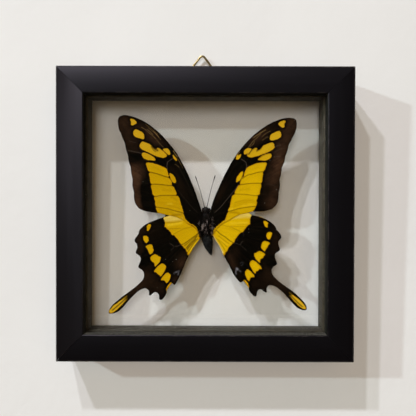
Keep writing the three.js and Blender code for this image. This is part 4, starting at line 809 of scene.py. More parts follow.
def wing_mesh(name, materials):
    outline = np.array(OUTLINE[name], float)
    side = -1 if name.endswith("left") else 1
    fore = name.startswith("fore")
    veins = [(s, w, catmull(p, step=0.42)) for s, w, p in VEINS[name]]
    lines = [(k, w, s, catmull(p, step=0.4)) for k, w, s, p in LINES[name]]
    marks = []
    lo, hi = outline.min(0) - 1, outline.max(0) + 1
    for poly in YELLOW:
        poly = np.array(poly)
        if (poly.max(0) > lo).all() and (poly.min(0) < hi).all() and (side < 0) == (poly[:, 0].mean() < 0.3):
            marks.append(poly)

    # vertices and lines that the mesh has to keep
    coords, edges = [], []

    def keep(line, closed):
        line = np.asarray(line, float)
        s = len(coords)
        coords.extend(line.tolist())
        n = len(line)
        for i in range(n if closed else n - 1):
            edges.append((s + i, s + (i + 1) % n))

    def dense(poly, step):
        out = []
        n = len(poly)
        for i in range(n):
            a, b = poly[i], poly[(i + 1) % n]
            k = max(1, int(math.ceil(np.linalg.norm(b - a) / step)))
            for j in range(k):
                out.append(a + (b - a) * j / k)
        return np.array(out)

    rim = dense(outline, 0.42)
    keep(rim, True)
    solid = []
    for poly in marks:
        d = dense(poly, 0.42)
        ok = inside(d, outline)
        dist, _ = segment_distance(d, outline, True)
        ok &= dist > 0.12
        run = []
        idx = list(range(len(d)))
        if not ok.all() and ok.any():
            start = int(np.argmin(ok))
            idx = idx[start:] + idx[:start]
        elif ok.all():
            keep(d, True)
            solid.append(d)
            continue
        for i in idx + [None]:
            if i is not None and ok[i]:
                run.append(d[i])
            else:
                if len(run) > 1:
                    keep(run, False)
                    solid.append(np.array(run))
                run = []
    for _, w, line in veins:
        ok = inside(line, outline) & (segment_distance(line, outline, True)[0] > 0.14)
        run = []
        for i in range(len(line) + 1):
            if i < len(line) and ok[i]:
                run.append(line[i])
            else:
                if len(run) > 1:
                    keep(run, False)
                    solid.append(np.array(run))
                    r = np.array(run)
                    tan = np.gradient(r, axis=0)
                    tan /= np.linalg.norm(tan, axis=1)[:, None] + 1e-9
                    nor = np.stack([-tan[:, 1], tan[:, 0]], 1)
                    for s in (-1, 1):
                        q = r + nor * s * 0.20
                        good = inside(q, outline) & (segment_distance(q, outline, True)[0] > 0.14)
                        coords.extend(q[good].tolist())
                run = []
    for k, w, _, line in lines:
        if w > 0.3:
            continue
        ok = inside(line, outline) & (segment_distance(line, outline, True)[0] > 0.14)
        for other in [l for _, _, l in veins]:
            ok &= segment_distance(line, other)[0] > 0.10
        run = []
        for i in range(len(line) + 1):
            if i < len(line) and ok[i]:
                run.append(line[i])
            else:
                if len(run) > 1:
                    keep(run, False)
                    r = np.array(run)
                    solid.append(r)
                    tan = np.gradient(r, axis=0)
                    tan /= np.linalg.norm(tan, axis=1)[:, None] + 1e-9
                    nor = np.stack([-tan[:, 1], tan[:, 0]], 1)
                    for s in (-1, 1):
                        q = r + nor * s * 0.17
                        good = inside(q, outline) & (segment_distance(q, outline, True)[0] > 0.14)
                        coords.extend(q[good].tolist())
                run = []
    step = 0.40
    gx, gz = np.meshgrid(np.arange(lo[0], hi[0], step), np.arange(lo[1], hi[1], step * 0.866))
    gx = gx + (np.arange(gx.shape[0]) % 2)[:, None] * step / 2
    grid = np.stack([gx.ravel(), gz.ravel()], 1)
    grid = grid[inside(grid, outline)]
    grid = grid[segment_distance(grid, rim, True)[0] > 0.18]
    for line in solid:
        box0, box1 = line.min(0) - 0.3, line.max(0) + 0.3
        near = ((grid > box0) & (grid < box1)).all(1)
        far = np.ones(len(grid), bool)
        if near.any():
            far[near] = segment_distance(grid[near], line)[0] > 0.17
        grid = grid[far]
    coords.extend(grid.tolist())
    vout, _, fout, *_ = geometry.delaunay_2d_cdt([Vector(c) for c in coords], edges, [], 0, 1e-5)
    pts = np.array([tuple(v) for v in vout])
    tris = np.array([f for f in fout if len(f) == 3], int)
    mid = pts[tris].mean(1)
    tris = tris[inside(mid, outline)]
    area = np.cross(pts[tris[:, 1]] - pts[tris[:, 0]], pts[tris[:, 2]] - pts[tris[:, 0]])
    tris = tris[np.abs(area) > 1e-6]
    flip = np.cross(pts[tris[:, 1]] - pts[tris[:, 0]], pts[tris[:, 2]] - pts[tris[:, 0]]) < 0
    tris[flip] = tris[flip][:, ::-1]
    used = np.unique(tris)
    remap = -np.ones(len(pts), int)
    remap[used] = np.arange(len(used))
    pts, tris = pts[used], remap[tris]
    n = len(pts)

    # fields
    yellow = np.full(n, -9.0)
    for poly in marks:
        d, _ = segment_distance(pts, poly, True)
        yellow = np.maximum(yellow, np.where(inside(pts, poly), d, -d))
    vdist = np.full(n, 9.0)
    vein = np.zeros(n)
    for s, w, line in veins:
        d, _ = segment_distance(pts, line)
        vdist = np.minimum(vdist, d)
        if s > 0:
            vein = np.maximum(vein, s * np.exp(-(d / (w * 0.95)) ** 2))
    field = {k: np.zeros(n) for k in ("fold_shade", "light", "grey", "streak", "white", "painted_cream_highlight", "dark")}
    for k, w, s, line in lines:
        d, along = segment_distance(pts, line)
        ends = smoothstep(along, -0.001, 0.14) * smoothstep(1.001 - along, 0.0, 0.14) if k in ("fold_shade", "light") else 1.0
        field[k] = np.maximum(field[k], s * ends * np.exp(-(d / w) ** 2))
    edge, _ = segment_distance(pts, outline, True)
    brown = np.zeros(n)
    for (cx, cz), (rx, rz), ang, amount in BLOBS[name]:
        a = math.radians(ang)
        dx, dz = pts[:, 0] - cx, pts[:, 1] - cz
        u = (dx * math.cos(a) + dz * math.sin(a)) / rx
        v = (-dx * math.sin(a) + dz * math.cos(a)) / rz
        brown += amount * np.exp(-(u * u + v * v) * 0.9)
    brown *= smoothstep(-yellow, 0.0, 1.6)
    brown = np.clip(brown, 0, 1)
    pale = np.zeros(n)
    if name in CRESCENT:
        xs, zs = CRESCENT[name]
        line = np.interp(pts[:, 0], xs, zs)
        pale = smoothstep(pts[:, 1] - line, -0.35, 1.1)
    base = np.array([0.2 + side * 1.2, 1.0 if fore else -5.0])
    d = pts - base
    reach = np.linalg.norm(d, axis=1)
    ray = np.arctan2(d[:, 1], d[:, 0] * side) * 38.0
    # painted shade and light: the wing's yellow level, lowered further towards the forewing's upper spots
    painted_light_level = np.full(n, YELLOW_PAINTED_LIGHT[name])
    if fore:
        high_up = smoothstep(pts[:, 1], 18, 33)
        painted_light_level = painted_light_level * (1 - 0.65 * high_up)
        pale = np.maximum(pale, 0.11 * high_up)
        open_rim = (pts[:, 1] < 2.0) & (np.abs(pts[:, 0]) > 3.6) & (np.abs(pts[:, 0]) < 21.5) & (edge < 0.9) & (yellow > -0.75)
        yellow = np.where(open_rim, np.maximum(yellow, 0.45), yellow)
    soft = np.zeros(n)
    if not fore:
        tail = np.array([(34.9, -37.0), (42.2, -43.8)]) if side < 0 else np.array([(36.7, -34.9), (44.1, -41.7)])
        a, d = tail[0], tail[1] - tail[0]
        u = ((pts[:, 0] * side - a[0]) * d[0] + (pts[:, 1] - a[1]) * d[1]) / float(d @ d)
        on = (u > -0.35) & (pts[:, 0] * side > 33.0)
        yellow = np.where(on, yellow - 0.05 - 0.18 * np.clip(1 - u * 2.2, 0, 1), yellow)
        pale = np.where(on, 0.14, pale)
    for (cx, cz), r, amount in SOFT[name]:
        if amount >= 0.9:
            yellow = yellow - 0.16 * np.exp(-((pts[:, 0] - cx) ** 2 + (pts[:, 1] - cz) ** 2) / (r * r * 1.6))
        soft = np.maximum(soft, amount * np.exp(-((pts[:, 0] - cx) ** 2 + (pts[:, 1] - cz) ** 2) / (r * r)))

    # shape: veins stand up on both faces, the skin between them sinks a little, folds crease
    ripple = 0.07 * (1 - np.exp(-(vdist / 1.1) ** 2))
    clear = smoothstep(pts[:, 1], 5, 16) if fore else smoothstep(-pts[:, 1], 5, 16)
    sway = 0.10 * np.sin(pts[:, 0] * 0.17 + pts[:, 1] * 0.11 + side) * clear
    curl = -0.10 * smoothstep(2.2 - edge, 0.0, 2.2) * (0.5 + 0.5 * np.sin(pts[:, 0] * 0.55 + pts[:, 1] * 0.6)) * smoothstep(reach, 8, 16)
    crease = 0.12 * field["fold_shade"] - 0.10 * field["light"]
    lap = np.zeros(n)
    if fore:
        lap = smoothstep(2.4 - edge, 0.0, 2.2) * smoothstep(2.6 - pts[:, 1], 0.0, 1.6) * smoothstep(np.abs(pts[:, 0]), 3.0, 5.0) * smoothstep(23.0 - np.abs(pts[:, 0]), 0.0, 2.5)
        curl = curl * (1 - lap) + 0.14 * lap
    if not fore:
        inner = smoothstep(-segment_distance(pts, np.array([(3.0 * side, -10.0), (8.4 * side, -18.0)]))[0], -5.0, -1.0)
        crease = crease * (1 + 0.6 * inner)
    t_mid = WING_T[name] + ripple + sway + curl + crease
    thick = 0.028 + 0.034 * smoothstep(edge, 0.0, 0.5)
    rib = np.exp(-(vdist / 0.15) ** 2) * smoothstep(edge, 0.0, 0.8)
    upper_t = t_mid - thick - 0.065 * rib
    lower_t = t_mid + thick + 0.050 * rib

    verts = [at(p[0], t, p[1]) for p, t in zip(pts, upper_t)] + [at(p[0], t, p[1]) for p, t in zip(pts, lower_t)]
    faces = [tuple(t) for t in tris] + [tuple(t[::-1] + n) for t in tris]
    count = {}
    for t in tris:
        for i in range(3):
            a, b = int(t[i]), int(t[(i + 1) % 3])
            count[(a, b)] = count.get((a, b), 0) + 1
    for (a, b) in list(count):
        if (b, a) not in count:
            faces.append((b, a, a + n, b + n))
    index = [0] * len(tris) + [1] * len(tris) + [1] * (len(faces) - 2 * len(tris))
    attrs = {"yellow": yellow, "vein": vein, "brown": brown, "pale": pale, "ray": ray, "reach": reach, "painted_light_level": painted_light_level, "soft": soft, **field}
    attrs = {k: np.concatenate([v, v]) for k, v in attrs.items()}
    ob = piece(name + "_scaled", "frame", verts, faces, materials, True, attrs, index)
    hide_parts(name)
    return ob


# ---------------------------------------------------------------- camera and stage
def camera():
    rx, ry, rz = (math.radians(a) for a in (0.62, 0.03, 0.153))
    Rx = np.array([[1, 0, 0], [0, math.cos(rx), -math.sin(rx)], [0, math.sin(rx), math.cos(rx)]])
    Ry = np.array([[math.cos(ry), 0, math.sin(ry)], [0, 1, 0], [-math.sin(ry), 0, math.cos(ry)]])
    Rz = np.array([[math.cos(rz), -math.sin(rz), 0], [math.sin(rz), math.cos(rz), 0], [0, 0, 1]])
    R = Rz @ Ry @ Rx
    world = lambda row: Vector((row[0], row[2], -row[1]))
    right, down, forward = (world(R[i]) for i in range(3))
    data = bpy.data.cameras.new("camera")
    data.sensor_width = 36.0
    data.sensor_fit = "HORIZONTAL"
    data.lens = 45.85
    data.clip_start, data.clip_end = 0.005, 20.0
    ob = bpy.data.objects.new("camera", data)
    scene.collection.objects.link(ob)
    m = Matrix.Identity(4)
    for i in range(3):
        m[i][0], m[i][1], m[i][2] = right[i], -down[i], -forward[i]
    m[0][3], m[1][3], m[2][3] = 0.00132, -0.241, 0.06969
    ob.matrix_world = m
    scene.camera = ob


def grid_plane(name, corner, u, v, nu, nv, material):
    verts, faces = [], []
    corner, u, v = Vector(corner), Vector(u), Vector(v)
    for j in range(nv + 1):
        for i in range(nu + 1):
            verts.append(corner + u * (i / nu) + v * (j / nv))
    for j in range(nv):
        for i in range(nu):
            a = j * (nu + 1) + i
            faces.append((a, a + 1, a + nu + 2, a + nu + 1))
    mesh = bpy.data.meshes.new(name)
    mesh.from_pydata([tuple(p) for p in verts], [], faces)
    mesh.materials.append(material)
    ob = bpy.data.objects.new(name, mesh)
    scene.collection.objects.link(ob)
    return ob


WALL_SLOPE = 0.0287


def wall_t(zc):
    return 24.15 + WALL_SLOPE * zc


def stage():
    # a pale painted wall, a little out of plumb with the frame, seen from its front only
    M = Mat("stage_wall")
    obj = M.coord("Object")
    peel = M.noise(M.mapping(obj, scale=(1, 1, 0.8)), 330.0, 3.0, 0.55)
    lumps = M.noise(obj, 95.0, 3.0, 0.55, 0.3)
    wide = M.noise(obj, 14.0, 2.0, 0.5)
    colour = M.mix(M.rng(wide, 0.3, 0.7), lin(238, 235, 230), lin(241, 238, 233))
    h = M.math("ADD", M.math("MULTIPLY", peel, 0.35), M.math("MULTIPLY", lumps, 0.65))
    nrm = M.bump(h, 0.30, 0.0009)
    b = M.n("ShaderNodeBsdfPrincipled")
    M.put(b.inputs["Base Color"], colour)
    b.inputs["Roughness"].default_value = 0.85
    b.inputs["Specular IOR Level"].default_value = 0.15
    M.put(b.inputs["Normal"], nrm)
    clear = M.n("ShaderNodeBsdfTransparent")
    back = M.n("ShaderNodeNewGeometry").outputs["Backfacing"]
    mx = M.n("ShaderNodeMixShader")
    M.put(mx.inputs[0], back)
    M.put(mx.inputs[1], b.outputs[0])
    M.put(mx.inputs[2], clear.outputs[0])
    M.put(M.out.inputs["Surface"], mx.outputs[0])
    z0, z1 = -0.62, 2.0
    y = lambda z: (wall_t(z / MM - CZ) - 11) * MM
    half = 1.8
    ob = grid_plane("stage_wall", (-half, y(z0), z0), (2 * half, 0, 0), (0, y(z1) - y(z0), z1 - z0), 4, 4, M.m)
    ob.visible_shadow = False

    F = Mat("stage_floor")
    obj = F.coord("Object")
    tone = F.noise(obj, 9.0, 4.0, 0.5)
    F.surface(Base_Color=F.mix(tone, lin(226, 222, 216), lin(234, 231, 226)), Roughness=0.8,
              Normal=F.bump(F.noise(obj, 160.0, 3.0), 0.1, 0.001))
    ground = grid_plane("stage_floor", (-3, -3, -0.62), (6, 0, 0), (0, 6, 0), 4, 4, F.m)
    ground.visible_diffuse = False
    ground.visible_glossy = False

    w = bpy.data.worlds.new("room")
    scene.world = w
    w.use_nodes = True
    t = w.node_tree
    t.nodes.clear()
    out = t.nodes.new("ShaderNodeOutputWorld")
    bg = t.nodes.new("ShaderNodeBackground")
    t.links.new(bg.outputs[0], out.inputs[0])
    # warm light from all round, less of it and cooler from below
    tc = t.nodes.new("ShaderNodeTexCoord")
    parts = t.nodes.new("ShaderNodeSeparateXYZ")
    t.links.new(tc.outputs["Generated"], parts.inputs[0])
    below = t.nodes.new("ShaderNodeMapRange")
    below.interpolation_type = "SMOOTHSTEP"
    below.inputs[1].default_value = -0.35
    below.inputs[2].default_value = 0.25
    t.links.new(parts.outputs["Z"], below.inputs[0])
    room = t.nodes.new("ShaderNodeMix")
    room.data_type = "RGBA"
    t.links.new(below.outputs[0], room.inputs[0])
    room.inputs[6].default_value = (0.026, 0.027, 0.027, 1)
    room.inputs[7].default_value = (0.125, 0.098, 0.066, 1)
    # more of it from in front
    dot = t.nodes.new("ShaderNodeVectorMath")
    dot.operation = "DOT_PRODUCT"
    dot.inputs[1].default_value = (0.10, -0.99, 0.08)
    t.links.new(tc.outputs["Generated"], dot.inputs[0])
    ahead = t.nodes.new("ShaderNodeMapRange")
    ahead.interpolation_type = "SMOOTHSTEP"
    ahead.inputs[1].default_value = 0.76
    ahead.inputs[2].default_value = 0.96
    t.links.new(dot.outputs["Value"], ahead.inputs[0])
    both = t.nodes.new("ShaderNodeMix")
    both.data_type = "RGBA"
    t.links.new(ahead.outputs[0], both.inputs[0])
    t.links.new(room.outputs[2], both.inputs[6])
    both.inputs[7].default_value = (0.75, 0.56, 0.345, 1)
    room = both
    # what the glass and the lacquer mirror is a dark room
    lp = t.nodes.new("ShaderNodeLightPath")
    glossy = t.nodes.new("ShaderNodeMix")
    glossy.data_type = "RGBA"
    t.links.new(lp.outputs["Is Glossy Ray"], glossy.inputs[0])
    t.links.new(room.outputs[2], glossy.inputs[6])
    glossy.inputs[7].default_value = (0.006, 0.0055, 0.006, 1)
    cam = t.nodes.new("ShaderNodeMix")
    cam.data_type = "RGBA"
    # what is seen straight through the panes is as pale as what is seen beside the frame
    once = t.nodes.new("ShaderNodeMath")
    once.operation = "LESS_THAN"
    t.links.new(lp.outputs["Glossy Depth"], once.inputs[0])
    once.inputs[1].default_value = 0.5
    through = t.nodes.new("ShaderNodeMath")
    through.operation = "MULTIPLY"
    t.links.new(lp.outputs["Is Transmission Ray"], through.inputs[0])
    t.links.new(once.outputs[0], through.inputs[1])
    seen = t.nodes.new("ShaderNodeMath")
    seen.operation = "MAXIMUM"
    t.links.new(lp.outputs["Is Camera Ray"], seen.inputs[0])
    t.links.new(through.outputs[0], seen.inputs[1])
    t.links.new(seen.outputs[0], cam.inputs[0])
    t.links.new(glossy.outputs[2], cam.inputs[6])
    cam.inputs[7].default_value = (0.80, 0.785, 0.76, 1)
    t.links.new(cam.outputs[2], bg.inputs[0])

    def lamp(name, slope_right, slope_down, distance, power, size, colour, gloss=True, even=False):
        """A round lamp whose light runs this far right and down for each unit into the wall."""
        d = Vector((-slope_right, -1.0, slope_down))
        d *= distance
        data = bpy.data.lights.new(name, "AREA")
        data.shape = "DISK"
        data.size = size
        data.energy = power
        data.color = colour
        if even:
            # near, for the way its shadows spread, but as even as the light of a lit room
            data.use_nodes = True
            fall = data.node_tree.nodes.new("ShaderNodeLightFalloff")
            fall.inputs["Strength"].default_value = 1.0
            emit = next(n for n in data.node_tree.nodes if n.type == "EMISSION")
            data.node_tree.links.new(fall.outputs["Constant"], emit.inputs["Strength"])
        ob = bpy.data.objects.new(name, data)
        scene.collection.objects.link(ob)
        ob.location = Vector((0, 0, CZ * MM)) + d
        ob.rotation_mode = "QUATERNION"
        ob.rotation_quaternion = d.to_track_quat("Z", "Y")
        ob.visible_camera = False
        ob.visible_glossy = gloss
        ob.visible_transmission = gloss
        return ob

    lamp("lamp_a", 1.248, 0.555, 0.75, 2.71, 0.046, (0.82, 1.0, 1.09), even=True)
    lamp("lamp_b", 0.425, 1.225, 0.50, 2.56, 0.031, (0.93, 1.0, 1.07), even=True)
    lamp("lamp_c", 0.705, 1.225, 0.50, 2.83, 0.032, (0.93, 0.97, 1.12), even=True)
    lamp("lamp_d", 0.11, 0.17, 2.6, 18.0, 0.75, (0.94, 0.97, 1.02), gloss=False)


# ---------------------------------------------------------------- materials of the made things
def wood_material(name, along, relief=0.10, ground=(4, 3, 4), gloss=0.5):
    """Black stained wood with a satin coat, its grain along X or Z."""
    M = Mat(name)
    obj = M.coord("Object")
    s = (14, 420, 420) if along == "x" else (420, 420, 14)
    s2 = (3, 70, 70) if along == "x" else (70, 70, 3)
    fibre = M.noise(M.mapping(obj, scale=s), 1.0, 4.0, 0.6)
    figure = M.noise(M.mapping(obj, scale=s2), 1.0, 3.0, 0.55, 0.6)
    blot = M.noise(obj, 60.0, 3.0, 0.5)
    speck = M.rng(M.noise(obj, 1500.0, 1.0), 0.80, 0.86)
    colour = M.mix(M.rng(figure, 0.3, 0.7), lin(*ground), lin(*(v + 1 for v in ground)))
    colour = M.mix(M.rng(fibre, 0.60, 0.85, 0.0, 0.35), colour, lin(12, 10, 11))
    wear = M.math("MULTIPLY", M.attr("wear"), M.rng(M.noise(obj, 320.0, 3.0, 0.6), 0.44, 0.66))
    colour = M.mix(M.math("MULTIPLY", wear, 0.45), colour, lin(84, 76, 72))
    up = M.rng(M.sep(M.n("ShaderNodeNewGeometry").outputs["True Normal"])[2], 0.80, 0.95)
    dust = M.math("MULTIPLY", M.math("MULTIPLY", up, M.attr("dust")), M.rng(M.noise(M.mapping(obj, scale=(1, 1.6, 1)), 1700.0, 4.0, 0.65), 0.40, 0.66))
    colour = M.mix(dust, colour, lin(104, 100, 92))
    colour = M.mix(M.math("MULTIPLY", speck, 0.35), colour, lin(120, 112, 104))
    rough = M.rng(fibre, 0.3, 0.7, 0.45, 0.51, smooth=False)
    rough = M.math("ADD", rough, M.math("MULTIPLY", M.math("SUBTRACT", blot, 0.5), 0.03))
    h = M.math("ADD", M.math("MULTIPLY", fibre, 0.7), M.math("MULTIPLY", figure, 0.3))
    nrm = M.bump(h, relief, 0.00004)
    b = M.n("ShaderNodeBsdfPrincipled")
    M.put(b.inputs["Base Color"], colour)
    M.put(b.inputs["Roughness"], rough)
    M.put(b.inputs["Normal"], nrm)
    b.inputs["Specular IOR Level"].default_value = gloss
    b.inputs["Specular Tint"].default_value = (1.0, 0.86, 0.92, 1)
    # the inner edge of the lip is not lacquered
    bare = M.n("ShaderNodeBsdfPrincipled")
    M.put(bare.inputs["Base Color"], M.mix(M.rng(fibre, 0.3, 0.7), M.mix(dust, lin(34, 33, 28), lin(92, 88, 80)), M.mix(dust, lin(52, 50, 44), lin(112, 108, 98))))
    bare.inputs["Roughness"].default_value = 0.9
    bare.inputs["Specular IOR Level"].default_value = 0.06
    M.put(bare.inputs["Normal"], nrm)
    mx = M.n("ShaderNodeMixShader")
    M.put(mx.inputs[0], M.attr("inner"))
    M.put(mx.inputs[1], b.outputs[0])
    M.put(mx.inputs[2], bare.outputs[0])
    M.put(M.out.inputs["Surface"], mx.outputs[0])
    return M.m


def spacer_material(name, k):
    M = Mat(name)
    obj = M.coord("Object")
    mottled = M.noise(obj, 260.0, 4.0, 0.6)
    fibre = M.noise(M.mapping(obj, scale=(500, 120, 500)), 1.0, 3.0, 0.6)
    # painted shade: k darkens the board's colour for its side
    colour = M.mix(M.rng(mottled, 0.3, 0.7), lin(58 * k, 51 * k, 38 * k), lin(78 * k, 71 * k, 57 * k))
    colour = M.mix(M.rng(fibre, 0.5, 0.75, 0.0, 0.35), colour, lin(94 * k, 88 * k, 74 * k))
    speck = M.rng(M.voronoi(obj, 900.0), 0.10, 0.18, 1.0, 0.0)
    speck = M.math("MULTIPLY", speck, M.rng(M.noise(obj, 240.0, 1.0), 0.52, 0.62))
    colour = M.mix(M.math("MULTIPLY", speck, 0.5), colour, lin(160, 156, 146))
    b = M.surface(Base_Color=colour, Roughness=M.rng(mottled, 0.2, 0.8, 0.62, 0.8, smooth=False),
                  Normal=M.bump(fibre, 0.4, 0.00008))
    b.inputs["Specular IOR Level"].default_value = 0.3
    return M.m


def glass_material():
    """Clear pane that lets the lamps through to what is behind it."""
    M = Mat("pane_glass")
    b = M.n("ShaderNodeBsdfPrincipled")
    b.inputs["Base Color"].default_value = (1.0, 0.998, 0.99, 1)
    b.inputs["Roughness"].default_value = 0.0
    b.inputs["IOR"].default_value = 1.5
    b.inputs["Transmission Weight"].default_value = 1.0
    clear = M.n("ShaderNodeBsdfTransparent")
    clear.inputs[0].default_value = (0.995, 0.995, 0.99, 1)
    path = M.n("ShaderNodeLightPath")
    shader = b.outputs[0]
    for ray in ("Is Diffuse Ray", "Is Shadow Ray"):
        mx = M.n("ShaderNodeMixShader")
        M.put(mx.inputs[0], path.outputs[ray])
        M.put(mx.inputs[1], shader)
        M.put(mx.inputs[2], clear.outputs[0])
        shader = mx.outputs[0]
    M.put(M.out.inputs["Surface"], shader)
    return M.m


def glue_material():
    M = Mat("clear_glue")
    b = M.n("ShaderNodeBsdfPrincipled")
    b.inputs["Base Color"].default_value = (0.97, 0.94, 0.86, 1)
    b.inputs["Roughness"].default_value = 0.08
    b.inputs["IOR"].default_value = 1.47
    b.inputs["Transmission Weight"].default_value = 1.0
    obj = M.coord("Object")
    M.put(b.inputs["Normal"], M.bump(M.noise(obj, 500.0, 2.0), 0.15, 0.0001))
    M.put(M.out.inputs["Surface"], b.outputs[0])
    return M.m


def metal_material(name, base, dark, rough0, rough1, scale, tarnish):
    M = Mat(name)
    obj = M.coord("Object")
    mottled = M.noise(obj, 420.0, 4.0, 0.6)
    drawn = M.noise(M.mapping(obj, scale=scale), 1.0, 3.0, 0.6)
    colour = M.mix(M.rng(mottled, 0.40, 0.72, 0.0, tarnish), base, dark)
    rough = M.rng(drawn, 0.3, 0.7, rough0, rough1, smooth=False)
    M.surface(Base_Color=colour, Metallic=1.0, Roughness=rough, Normal=M.bump(drawn, 0.15, 0.00003))
    return M.m


# ---------------------------------------------------------------- frame, spacers, hanger
def bevelled(node, name, body, material, rules, shift=None, merge=None):
    """The CAD node's shape with its edges eased: rules gives a width and segments for an edge, or None."""
    bm = bmesh.new()
    bm.from_mesh(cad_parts[node].data)
    bmesh.ops.remove_doubles(bm, verts=bm.verts, dist=2e-6)
    bmesh.ops.dissolve_limit(bm, angle_limit=math.radians(0.6), verts=bm.verts, edges=bm.edges)
    if shift:
        for v in bm.verts:
            v.co = shift(v.co)
    bm.normal_update()
    groups = {}
    for e in bm.edges:
        if len(e.link_faces) != 2 or not e.is_convex:
            continue
        if e.calc_face_angle(0) < math.radians(12):
            continue
        r = rules(e)
        if r:
            groups.setdefault(r, []).append(e)
    layer = bm.faces.layers.float.new("wear")
    for (width, segs), edges in sorted(groups.items(), key=lambda kv: -kv[0][0]):
        edges = [e for e in edges if e.is_valid]
        made = bmesh.ops.bevel(bm, geom=edges, offset=width, offset_type="OFFSET", segments=segs, profile=0.5,
                               affect="EDGES", clamp_overlap=True)
        for f in made["faces"]:
            f[layer] = 1.0
    ob = from_bmesh(name, body, bm, material)
    me = ob.data
    for p in me.polygons:
        p.use_smooth = p.area < 2e-5
    me.set_sharp_from_angle(angle=math.radians(32))
    return ob


# how far each rail's ends are drawn together at the mitres: (left or bottom end, right or top end)
CLOSE = {"top": (0.180, 0.180), "bottom": (0.175, 0.185), "left": (0.175, 0.180), "right": (0.185, 0.180)}


def build_frame():
    # painted light: the left rail's ground, (13, 12, 14) where the others have (4, 3, 4), is lighter to stand in for
    # the lamps' glare on that side
    wood = {"top": wood_material("wood_top", "x"), "bottom": wood_material("wood_bottom", "x", 0.10),
            "left": wood_material("wood_left_lit", "z", 0.16, (13, 12, 14), 0.9), "right": wood_material("wood_right", "z", 0.05)}
    W, H = 130.0, 128.8
    for sideway, axis in (("top", "x"), ("bottom", "x"), ("left", "z"), ("right", "z")):
        node = "frame_rail_" + sideway

        def place(co):
            """Width in from the outer edge, and distance along from the rail's middle, in mm."""
            x, z = co.x / MM, co.z / MM
            if sideway == "top":
                return H - z, x, W
            if sideway == "bottom":
                return z, x, W
            if sideway == "left":
                return x + W / 2, z - H / 2, H
            return W / 2 - x, z - H / 2, H

        def shift(co):
            w, s, length = place(co)
            if abs(abs(s) - (length / 2 - w - 0.21)) < 0.02:
                d = math.copysign(CLOSE[sideway][s > 0], s) * MM
                return Vector((co.x + d, co.y, co.z)) if axis == "x" else Vector((co.x, co.y, co.z + d))
            return co

        def rules(e):
            a, b = e.verts[0].co, e.verts[1].co
            d = (b - a).normalized()
            run = abs(d.x) if axis == "x" else abs(d.z)
            length = (b - a).length / MM
            mid = (a + b) / 2
            w, s, L = place(mid)
            t = mid.y / MM + 11
            if run > 0.99 and length > 60:
                return (0.16 * MM, 2) if t < 1.0 else (0.12 * MM, 1)
            if abs(abs(s) - (L / 2 - w - 0.21 + CLOSE[sideway][s > 0])) < 0.05:
                if t < 2:
                    return ((0.26 if sideway == "left" else 0.11) * MM, 2) if sideway in ("bottom", "left") and s < 0 else (0.08 * MM, 1)
                if w < 0.6 and length > 15:
                    return ((0.75 if sideway in ("bottom", "left") and s < 0 else 0.45) * MM, 4)
            return None

        ob = bevelled(node, node + "_finish", "frame", wood[sideway], rules, shift)
        n = len(ob.data.vertices)
        dust = np.zeros(n)
        if sideway == "bottom":
            for i, v in enumerate(ob.data.vertices):
                if v.co.z / MM > 11.0:
                    dust[i] = 1.0
        a = ob.data.attributes.new("dust", "FLOAT", "POINT")
        a.data.foreach_set("value", dust.astype(np.float32))
        a = ob.data.attributes.new("inner", "FLOAT", "FACE")
        a.data.foreach_set("value", [1.0 if abs(p.normal.y) < 0.6 and place(p.center)[0] > 11.2 else 0.0 for p in ob.data.polygons])
        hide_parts(node)

    # painted shade: copies of one board of different brightness, the bottom strip darkest and the top a little dark,
    # standing in for the shade inside the frame
    board = {side: spacer_material("spacer_board_shaded_" + side, k)
             for side, k in (("top", 0.95), ("bottom", 0.80), ("left", 1.0), ("right", 1.0))}
    for sideway in ("top", "bottom", "left", "right"):
        node = "spacer_" + sideway

        def shift(co, sideway=sideway):
            if sideway in ("left", "right"):
                # close most of the fitting gap at the strip's ends
                zc = co.z / MM - CZ
                return Vector((co.x, co.y, co.z + math.copysign(0.22, zc) * MM))
            return co

        ob = bevelled(node, node + "_finish", "frame", board[sideway], lambda e: (0.14 * MM, 2), shift)
        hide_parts(node)

    glass = glass_material()
    for node in ("glass_front", "glass_back"):
        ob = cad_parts[node]
        ob.data.materials.clear()
        ob.data.materials.append(glass)

    steel = metal_material("point_steel", lin(176, 176, 178), lin(96, 92, 88), 0.28, 0.46, (60, 60, 900), 0.8)
    for sideway in ("top", "bottom", "left", "right"):
        node = "point_" + sideway
        ob = bevelled(node, node + "_finish", "frame", steel, lambda e: (0.10 * MM, 2))
        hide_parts(node)


